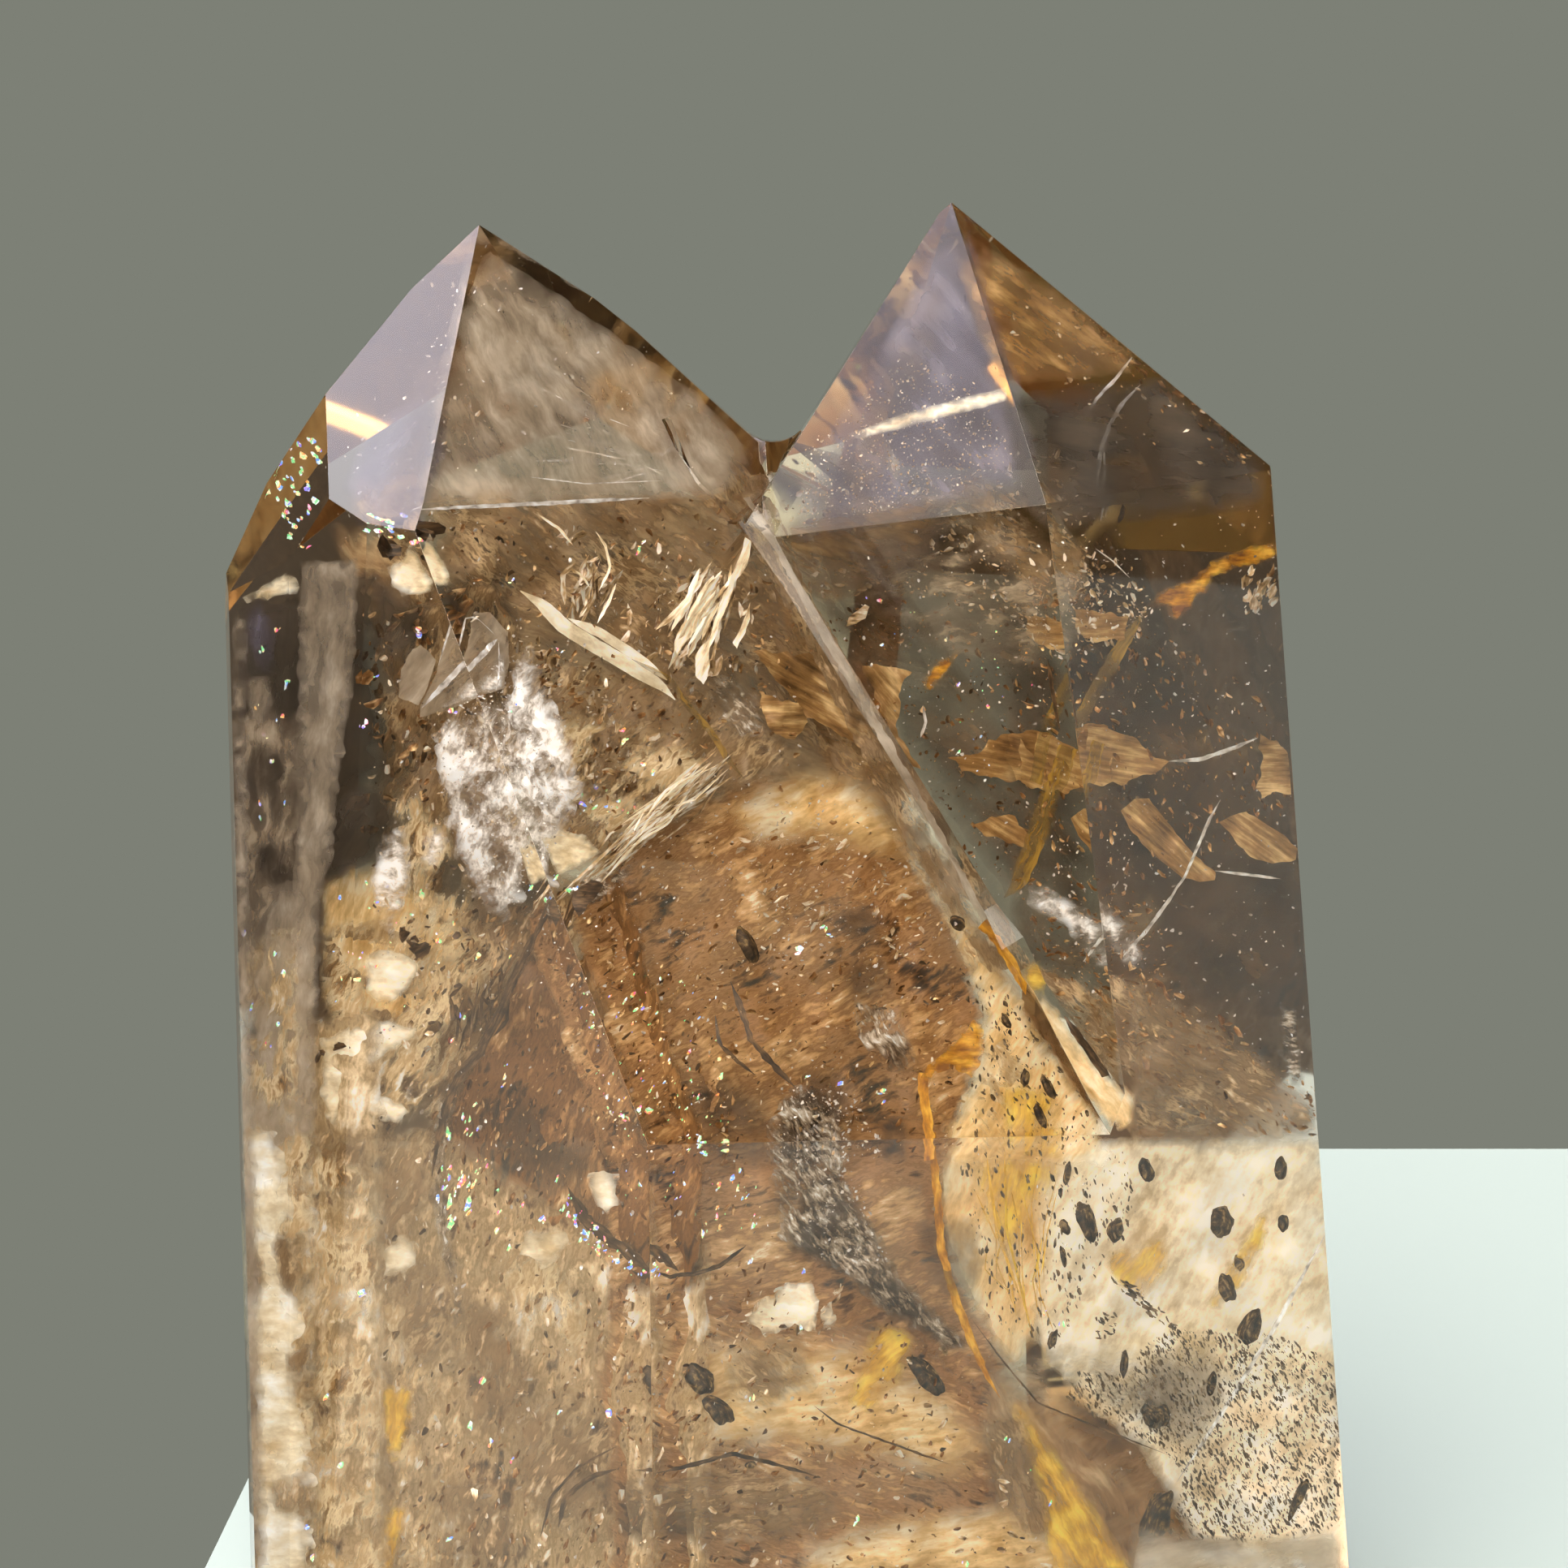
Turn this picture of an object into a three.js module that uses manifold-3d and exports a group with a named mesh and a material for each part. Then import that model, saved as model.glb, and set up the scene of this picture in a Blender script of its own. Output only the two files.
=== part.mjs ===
// Smoky citrine cathedral: one polished quartz crystal that grew as two parallel points on a
// shared trunk. Millimetres, +Z up, origin in the middle of the flat sawn base.
// Ways are compass angles in plan: 0 faces the front (-Y) and 90 faces the right (+X).
// Rises are the angles by which a facet tips up from upright.
import * as THREE from 'three';
import { ConvexGeometry } from 'three/addons/geometries/ConvexGeometry.js';
import { mergeVertices } from 'three/addons/utils/BufferGeometryUtils.js';
import Module from 'manifold-3d';

// Tips, ridges and corners that the facets pass through
const leftTip = [-15.9, 4, 81.2];
const rightTip = [8.1, 4, 82.3];
const frontRidge = [-6.5, -17, 39.8];
const backRidge = [8, 22, 38];
const rightShoulder = [23.3, -3.1, 69.1];
const leftShoulder = [-28.9, 5.6, 62.5];
const bandFront = [-21.8, -4.1, 52];
const bandBack = [-25.4, -0.3, 52];
const leftEdge = [-31, 8.6, 52];
const leftBackEdge = [-32.2, 11.8, 52];
const crownRidgeFoot = [11.7, -8.5, 67.8];
const outerBrow = [-19.8, 4, 77.6];
const innerBrow = [-8.4, 4, 76.2];
const innerShoulder = [-5.4, 4, 73.5];
const leftBackRidge = [-6, 19, 63];
const rightBackRidge = [12, 19.2, 63];

// The rounded saddle between the points, where their two slopes meet
const saddleFloor = [-0.53, 5, 69.16];
const saddleRadius = 2.1;
const saddleLeftSlope = 42;
const saddleRightSlope = 57.5;
const saddleSteps = 8;

// Sides of the trunk: five prism faces, and the narrow bands ground along the left edge
const trunkSides = {
  frontLeftFace: { way: -40, rise: 0, through: frontRidge },
  frontRightFace: { way: 25, rise: 0, through: frontRidge },
  rightFace: { way: 85, rise: 7, through: rightShoulder },
  backRightFace: { way: 145, rise: 1.5, through: backRidge },
  backLeftFace: { way: -168, rise: 1, through: backRidge },
  leftBackBand: { way: -115, rise: 0.8, through: leftBackEdge },
  leftEdgeBand: { way: -72, rise: 1.3, through: leftEdge },
  leftFace: { way: -58, rise: 1.5, through: bandBack },
  leftFrontBand: { way: -49, rise: 1, through: bandFront },
};

// The left point: a leaning prism face in front, the crown facets that meet at its tip, a
// narrow facet beside the saddle, and the shoulder on its outer side
const leftPoint = {
  frontFace: { way: 29, rise: 27, through: frontRidge },
  crownFront: { way: 28.6, rise: 33, through: leftTip },
  crownFrontLeft: { way: -38, rise: 35, through: leftTip },
  crownLeft: { way: -85, rise: 48, through: leftTip },
  crownLeftBrow: { way: -85, rise: 40, through: outerBrow },
  innerCorner: { way: 36, rise: 32.3, through: innerShoulder },
  shoulder: { way: -62, rise: 17, through: leftShoulder },
  crownBackLeft: { way: -150, rise: 36, through: leftTip },
  crownBackRight: { way: 150, rise: 42, through: leftTip },
  backFace: { way: 150, rise: 9, through: leftBackRidge },
};

// Slopes of the left point towards the saddle, steeper in three steps from the tip down
const leftSlopes = {
  upper: { way: 90, rise: 58.6, through: leftTip },
  middle: { way: 90, rise: 52, through: innerBrow },
  lower: { way: 90, rise: 90 - saddleLeftSlope, through: saddleFloor },
};

// The right point: a front-left prism face that leans out over the groove, and its crown
const rightPoint = {
  frontFace: { way: -34, rise: -9, through: crownRidgeFoot },
  crownFrontLeft: { way: -39.4, rise: 27, through: rightTip },
  crownFrontRight: { way: 19.7, rise: 42, through: rightTip },
  crownRight: { way: 88, rise: 50, through: rightTip },
  crownBackRight: { way: 145, rise: 38, through: rightTip },
  crownBackLeft: { way: -155, rise: 37, through: rightTip },
  backFace: { way: -155, rise: 7, through: rightBackRidge },
};

const rightSlopes = {
  whole: { way: -90, rise: 90 - saddleRightSlope, through: saddleFloor },
};

// The strip ground into the groove between the two front faces. Places run from its head to
// its foot, and each leg is how far it covers the face on either side there.
const grooveHead = 72;
const grooveFoot = 36.3;
const grooveStrip = [
  { place: 0, leg: 1.7 },
  { place: 0.09, leg: 1.7 },
  { place: 0.15, leg: 0.8 },
  { place: 0.24, leg: 0.5 },
  { place: 0.69, leg: 0.45 },
  { place: 0.74, leg: 0.8 },
  { place: 0.8, leg: 0.45 },
  { place: 0.945, leg: 1 },
  { place: 1.035, leg: 1.1 },
];
const stripDepth = 1.2;

// The chamfer ground round the sawn base
const chamferHeight = 0.8;
const chamferRise = -45;

// Half the side of a block that is larger than the crystal, and the nearness at which two
// corners count as one
const blockReach = 95;
const cornerTolerance = 1e-3;
const mergeTolerance = 1e-4;

const wasm = await Module();
wasm.setup();

// One polished plane from the way it faces, its rise and a point on it.
function facet({ way, rise, through }) {
  const turn = THREE.MathUtils.degToRad(way);
  const tip = THREE.MathUtils.degToRad(rise);
  const normal = new THREE.Vector3(
    Math.sin(turn) * Math.cos(tip),
    -Math.cos(turn) * Math.cos(tip),
    Math.sin(tip),
  );
  return new THREE.Plane().setFromNormalAndCoplanarPoint(normal, new THREE.Vector3(...through));
}

// All the planes of a set of facets.
function planesOf(facets) {
  return Object.values(facets).map(facet);
}

// The point where three planes meet, or null where two of them are parallel.
function meetingPoint(a, b, c) {
  const across = new THREE.Vector3().crossVectors(b.normal, c.normal);
  const size = a.normal.dot(across);
  if (Math.abs(size) < 1e-6) return null;
  return across.multiplyScalar(-a.constant)
    .addScaledVector(new THREE.Vector3().crossVectors(c.normal, a.normal), -b.constant)
    .addScaledVector(new THREE.Vector3().crossVectors(a.normal, b.normal), -c.constant)
    .divideScalar(size);
}

// The corners of the convex body that lies behind every one of the planes.
function cornersBehind(planes) {
  const corners = [];
  for (let i = 0; i < planes.length; i += 1) {
    for (let j = i + 1; j < planes.length; j += 1) {
      for (let k = j + 1; k < planes.length; k += 1) {
        const corner = meetingPoint(planes[i], planes[j], planes[k]);
        const behindAll = corner
          && planes.every((plane) => plane.distanceToPoint(corner) < cornerTolerance);
        const isNew = behindAll
          && corners.every((other) => other.distanceTo(corner) > cornerTolerance);
        if (isNew) corners.push(corner);
      }
    }
  }
  return corners;
}

// A closed three.js geometry as a solid that can be joined and cut.
function solidFrom(geometry) {
  const shell = geometry.clone();
  shell.deleteAttribute('normal');
  shell.deleteAttribute('uv');
  const merged = mergeVertices(shell, mergeTolerance);
  return new wasm.Manifold(new wasm.Mesh({
    numProp: 3,
    vertProperties: new Float32Array(merged.attributes.position.array),
    triVerts: new Uint32Array(merged.index.array),
  }));
}

// A joined or cut solid as a geometry again, without the triangles that merging closes up.
function geometryFrom(solid) {
  const { vertProperties, triVerts } = solid.getMesh();
  const geometry = new THREE.BufferGeometry();
  geometry.setAttribute('position', new THREE.BufferAttribute(vertProperties, 3));
  geometry.setIndex(new THREE.BufferAttribute(triVerts, 1));
  const merged = mergeVertices(geometry, mergeTolerance);
  const kept = [];
  for (let start = 0; start < merged.index.count; start += 3) {
    const [a, b, c] = merged.index.array.slice(start, start + 3);
    if (a !== b && b !== c && c !== a) kept.push(a, b, c);
  }
  merged.setIndex(kept);
  merged.computeVertexNormals();
  return merged;
}

// The six planes of the large block.
function blockSides() {
  const facings = [[90, 0], [-90, 0], [0, 0], [180, 0], [0, 90], [0, -90]];
  return facings.map(([way, rise]) => {
    const side = facet({ way, rise, through: [0, 0, 0] });
    side.constant = -blockReach;
    return side;
  });
}

// Everything inside the large block that lies behind the planes.
function bodyBehind(planes) {
  return solidFrom(new ConvexGeometry(cornersBehind([...planes, ...blockSides()])));
}

// Where a side that passes through a point stands at another height.
function pointAtHeight({ way, rise, through }, height) {
  const turn = THREE.MathUtils.degToRad(way);
  const out = -(height - through[2]) * Math.tan(THREE.MathUtils.degToRad(rise));
  return [through[0] + Math.sin(turn) * out, through[1] - Math.cos(turn) * out, height];
}

// The trunk: its sides, the chamfer below each of them, and the flat base.
function trunk() {
  const chamfers = Object.values(trunkSides).map((side) => facet({
    way: side.way,
    rise: chamferRise,
    through: pointAtHeight(side, chamferHeight),
  }));
  const base = facet({ way: 0, rise: -90, through: [0, 0, 0] });
  return bodyBehind([...planesOf(trunkSides), ...chamfers, base]);
}

// The fillet of the saddle: the space under an arc that touches both slopes, from front to
// back, kept behind the faces of both points.
function saddleFillet() {
  const left = THREE.MathUtils.degToRad(saddleLeftSlope);
  const right = THREE.MathUtils.degToRad(saddleRightSlope);
  const halfAngle = (Math.PI - left - right) / 2;
  const toCentre = saddleRadius / Math.sin(halfAngle);
  const lean = Math.PI / 2 + (right - left) / 2;
  const centreX = saddleFloor[0] + toCentre * Math.cos(lean);
  const centreZ = saddleFloor[2] + toCentre * Math.sin(lean);
  const arc = [];
  for (let step = 0; step <= saddleSteps; step += 1) {
    const angle = -Math.PI / 2 - left + ((left + right) * step) / saddleSteps;
    arc.push(new THREE.Vector2(
      centreX + saddleRadius * Math.cos(angle),
      centreZ + saddleRadius * Math.sin(angle),
    ));
  }
  const below = new THREE.Vector2(saddleFloor[0], saddleFloor[2] - saddleRadius);
  const section = new THREE.Shape([...arc, below]);
  const fillet = new THREE.ExtrudeGeometry(section, { depth: blockReach, bevelEnabled: false });
  fillet.rotateX(Math.PI / 2);
  fillet.translate(0, blockReach / 2, 0);
  const outerFaces = [...planesOf(leftPoint), ...planesOf(rightPoint)];
  return solidFrom(fillet).intersect(bodyBehind(outerFaces));
}

// The strip in the groove where the two front faces meet, as short convex lengths that end
// under the crown facets and the slopes of the saddle.
function grooveFillet() {
  const leftFace = facet(leftPoint.frontFace);
  const rightFace = facet(rightPoint.frontFace);
  const [head, foot] = [grooveHead, grooveFoot].map((height) => (
    meetingPoint(leftFace, rightFace, facet({ way: 0, rise: 90, through: [0, 0, height] }))));
  const down = foot.clone().sub(head).normalize();
  const alongLeft = new THREE.Vector3().crossVectors(down, leftFace.normal).normalize();
  const alongRight = new THREE.Vector3().crossVectors(rightFace.normal, down).normalize();
  const inward = leftFace.normal.clone().add(rightFace.normal).normalize().negate();
  const sections = grooveStrip.map(({ place, leg }) => {
    const centre = head.clone().lerp(foot, place);
    return [
      centre.clone().addScaledVector(alongLeft, leg),
      centre.clone().addScaledVector(alongRight, leg),
      centre.clone().addScaledVector(inward, stripDepth),
    ];
  });
  const lengths = sections.slice(1).map((section, index) => (
    solidFrom(new ConvexGeometry([...sections[index], ...section]))));
  const leftCrown = [leftPoint.crownFront, leftPoint.innerCorner].map(facet);
  const underLeft = bodyBehind([...leftCrown, ...planesOf(leftSlopes)]);
  const underRight = bodyBehind([facet(rightPoint.crownFrontLeft), ...planesOf(rightSlopes)]);
  const strip = lengths.reduce((joined, length) => joined.add(length));
  return strip.intersect(underLeft.add(underRight));
}

const points = bodyBehind([...planesOf(leftPoint), ...planesOf(leftSlopes)])
  .add(bodyBehind([...planesOf(rightPoint), ...planesOf(rightSlopes)]))
  .add(saddleFillet())
  .add(grooveFillet());
const crystalGeometry = geometryFrom(trunk().intersect(points));

// The origin goes to the middle of the base's surrounding box.
crystalGeometry.computeBoundingBox();
const middle = crystalGeometry.boundingBox.getCenter(new THREE.Vector3());
crystalGeometry.translate(-middle.x, -middle.y, 0);

const quartz = new THREE.MeshStandardMaterial({ color: 0x9a7448, roughness: 0.04, metalness: 0 });
const crystal = new THREE.Mesh(crystalGeometry, quartz);
crystal.name = 'twin_point_crystal';

const cathedral = new THREE.Group();
cathedral.add(crystal);

export default cathedral;
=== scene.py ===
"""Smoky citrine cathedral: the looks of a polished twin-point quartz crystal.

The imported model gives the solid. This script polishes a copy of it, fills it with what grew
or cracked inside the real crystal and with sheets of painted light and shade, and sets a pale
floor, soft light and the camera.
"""

import logging
import math
import random
from dataclasses import dataclass, field, replace
from enum import Enum
from typing import Protocol

import bmesh
import bpy
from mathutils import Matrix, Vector, geometry, noise
from mathutils.bvhtree import BVHTree


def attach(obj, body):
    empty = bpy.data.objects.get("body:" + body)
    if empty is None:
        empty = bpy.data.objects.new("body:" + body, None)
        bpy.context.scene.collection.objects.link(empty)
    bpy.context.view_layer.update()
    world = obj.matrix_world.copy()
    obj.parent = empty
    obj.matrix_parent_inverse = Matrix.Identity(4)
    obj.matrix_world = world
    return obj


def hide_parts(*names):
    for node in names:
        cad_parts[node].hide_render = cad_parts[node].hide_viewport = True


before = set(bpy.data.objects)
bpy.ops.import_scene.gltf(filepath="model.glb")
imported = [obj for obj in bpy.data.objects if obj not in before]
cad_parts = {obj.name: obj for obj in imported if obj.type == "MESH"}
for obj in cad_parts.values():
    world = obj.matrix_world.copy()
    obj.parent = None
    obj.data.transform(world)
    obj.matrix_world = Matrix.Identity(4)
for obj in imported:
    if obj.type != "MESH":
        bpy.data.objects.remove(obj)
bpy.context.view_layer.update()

MM = 0.001
CRYSTAL = "twin_point_crystal"
QUARTZ_IOR = 1.544
TINY = 1e-9
# What the rims wander by, so that every run gives the same meshes.
WANDER_SEED = 11
# How far apart in a finish's pattern, in millimetres, the small patches may start.
PATTERN_REACH = 60
LOG = logging.getLogger("cathedral")

Pixels = tuple[tuple[float, float], ...]


def linear(code: str) -> tuple[float, float, float, float]:
    """Turns an sRGB hex value into a linear colour with full alpha.

    Args:
        code: The colour as six hex digits after a hash sign.

    Returns:
        Red, green, blue and alpha for a Blender socket.
    """
    parts = [int(code[i:i + 2], 16) / 255 for i in (1, 3, 5)]
    turned = [p / 12.92 if p <= 0.04045 else ((p + 0.055) / 1.055) ** 2.4 for p in parts]
    return (*turned, 1.0)


def add_node(tree: bpy.types.NodeTree, kind: str, **sockets: object) -> bpy.types.Node:
    """Adds one node, sets what is given and links what comes from another node.

    Args:
        tree: The node tree that takes the node.
        kind: The node's Blender type.
        **sockets: Values by name. A name that the node has as a property sets the
            property. Any other names an input, with underscores for spaces, or with a
            leading i and its number, and its value is a plain value or an output socket.

    Returns:
        The new node.
    """
    node = tree.nodes.new(kind)
    for name, value in sockets.items():
        if hasattr(node, name) and not isinstance(value, bpy.types.NodeSocket):
            setattr(node, name, value)
            continue
        place = int(name[1:]) if name[0] == "i" and name[1:].isdigit() else name.replace("_", " ")
        socket = node.inputs[place]
        if isinstance(value, bpy.types.NodeSocket):
            tree.links.new(value, socket)
        else:
            socket.default_value = value
    return node


def is_within(point: tuple[float, float], outline: Pixels) -> bool:
    """Tells whether a point of the frame lies within an outline.

    Args:
        point: Pixels across and down.
        outline: The outline's corners in order, in pixels.

    Returns:
        True for a point within the outline.
    """
    across, down = point
    inside = False
    for (x0, y0), (x1, y1) in zip(outline, outline[1:] + outline[:1]):
        if (y0 > down) != (y1 > down) and across < x0 + (x1 - x0) * (down - y0) / (y1 - y0):
            inside = not inside
    return inside


def rim_distance(point: tuple[float, float], outline: Pixels) -> float:
    """Gives the distance from a point of the frame to an outline.

    Args:
        point: Pixels across and down.
        outline: The outline's corners in order, in pixels.

    Returns:
        The distance in pixels.
    """
    spot = Vector(point)
    nearest = math.inf
    for start, end in zip(outline, outline[1:] + outline[:1]):
        a, b = Vector(start), Vector(end)
        side = b - a
        share = min(1.0, max(0.0, (spot - a).dot(side) / max(side.length_squared, TINY)))
        nearest = min(nearest, (spot - a - side * share).length)
    return nearest


class Facet(Enum):
    """The facets that the reference view looks in through, each by a pixel that lies on it."""

    LEFT_CROWN = (700, 450)
    LEFT_LILAC = (520, 500)
    SHOULDER = (375, 600)
    LEFT_BAND = (420, 1000)
    LEFT_SIDE = (330, 1000)
    LEFT_BROAD = (600, 1300)
    LEANING = (850, 1000)
    GROOVE = (1060, 870)
    RIGHT_INNER = (1200, 900)
    GROOVE_FOOT = (1300, 1250)
    RIGHT_LILAC = (1150, 500)
    RIGHT_CROWN = (1330, 500)
    RIGHT_BROAD = (1450, 1000)
    LOWER_BROAD = (1100, 1650)


@dataclass
class Viewpoint:
    """The camera of the reference view, and where its rays go inside the crystal."""

    aim: Vector = field(default_factory=lambda: Vector((-0.083, -2.893, 53.0)) * MM)
    distance: float = 110 * MM
    pitch: float = math.radians(11)
    lens: float = 49.0
    sensor: float = 36.0
    frame_side: int = 1932
    pixels_per_mm: float = 23.9
    skin: float = 0.4 * MM
    pulls: int = 2
    clip_start: float = 5 * MM
    solid: BVHTree | None = None

    @property
    def ahead(self) -> Vector:
        """The direction in which the camera looks."""
        return Vector((0, math.cos(self.pitch), -math.sin(self.pitch)))

    @property
    def place(self) -> Vector:
        """Where the camera stands."""
        return self.aim - self.ahead * self.distance

    def read_solid(self, node: bpy.types.Object) -> None:
        """Keeps the crystal's faces, so that rays can enter them.

        Args:
            node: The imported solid.
        """
        mesh = node.data
        corners = [v.co.copy() for v in mesh.vertices]
        faces = [tuple(p.vertices) for p in mesh.polygons]
        self.solid = BVHTree.FromPolygons(corners, faces)

    def ray(self, across: float, down: float) -> Vector:
        """Gives the direction of the ray through a pixel of the reference frame.

        Args:
            across: Pixels from the frame's left side.
            down: Pixels from its top.

        Returns:
            The direction, of unit length.
        """
        focal = self.frame_side * self.lens / self.sensor
        half = self.frame_side / 2
        right = Vector((1, 0, 0))
        up = right.cross(self.ahead)
        way = self.ahead + right * ((across - half) / focal) - up * ((down - half) / focal)
        return way.normalized()

    def held_inside(self, point: Vector) -> Vector:
        """Pulls a point that is outside the crystal, or too near its skin, just inside it.

        Args:
            point: The point in metres.

        Returns:
            The point itself, or the nearest that lies deep enough.
        """
        for _ in range(self.pulls):
            near, out, _, _ = self.solid.find_nearest(point)
            if (near - point).dot(out) >= self.skin:
                break
            point = near - out * self.skin
        return point

    def add_camera(self) -> None:
        """Adds the camera and makes it the scene's own."""
        data = bpy.data.cameras.new("reference_view")
        data.lens = self.lens
        data.sensor_width = self.sensor
        data.clip_start = self.clip_start
        camera = bpy.data.objects.new("reference_view", data)
        camera.location = self.place
        camera.rotation_euler = (math.pi / 2 - self.pitch, 0, 0)
        bpy.context.scene.collection.objects.link(camera)
        bpy.context.scene.camera = camera


@dataclass
class Window:
    """One facet as the reference view looks in through it."""

    view: Viewpoint
    facet: Facet

    def __post_init__(self) -> None:
        """Finds the facet's plane and the way that light bends in it."""
        toward = self.view.ray(*self.facet.value)
        self.on, self.out, _, _ = self.view.solid.ray_cast(self.view.place, toward)
        self.ahead = self.bent(toward)

    def bent(self, ray: Vector) -> Vector:
        """Bends a ray as quartz does where it enters the facet.

        Args:
            ray: The ray's direction in air.

        Returns:
            Its direction in the quartz, both of unit length.
        """
        ratio = 1 / QUARTZ_IOR
        fall = -ray.dot(self.out)
        return ray * ratio + self.out * (ratio * fall - math.sqrt(1 - ratio ** 2 * (1 - fall ** 2)))

    def inside(self, across: float, down: float, depth: float) -> Vector:
        """Finds the point that shows at a pixel through the facet.

        Args:
            across: Pixels from the frame's left side.
            down: Pixels from its top.
            depth: Millimetres along the bent ray from the facet's plane.

        Returns:
            The point in metres.
        """
        ray = self.view.ray(across, down)
        reach = (self.on - self.view.place).dot(self.out) / ray.dot(self.out)
        return self.view.place + ray * reach + self.bent(ray) * (depth * MM)


@dataclass(frozen=True)
class SmokyQuartz:
    """Clear natural quartz with a smoky citrine tint, cut and polished by hand.

    Hand polish leaves it glossy with a very faint haze. The tint comes from the depth of
    quartz that light crosses, so thick parts look browner than the tips.
    """

    name: str = "smoky_quartz_polished"
    haze: float = 0.03
    tint: str = "#DEBC4F"
    density_per_metre: float = 25.0

    def material(self) -> bpy.types.Material:
        """Makes the see-through material.

        Returns:
            The material, clear at its surface and tinted in its volume.
        """
        made = bpy.data.materials.new(self.name)
        made.use_nodes = True
        tree = made.node_tree
        tree.nodes.clear()
        shader = add_node(
            tree, "ShaderNodeBsdfPrincipled", Base_Color=(1, 1, 1, 1), IOR=QUARTZ_IOR,
            Roughness=self.haze, Transmission_Weight=1.0,
        )
        depth = add_node(
            tree, "ShaderNodeVolumeAbsorption", Color=linear(self.tint),
            Density=self.density_per_metre,
        )
        add_node(
            tree, "ShaderNodeOutputMaterial", Surface=shader.outputs[0], Volume=depth.outputs[0],
        )
        return made


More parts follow.
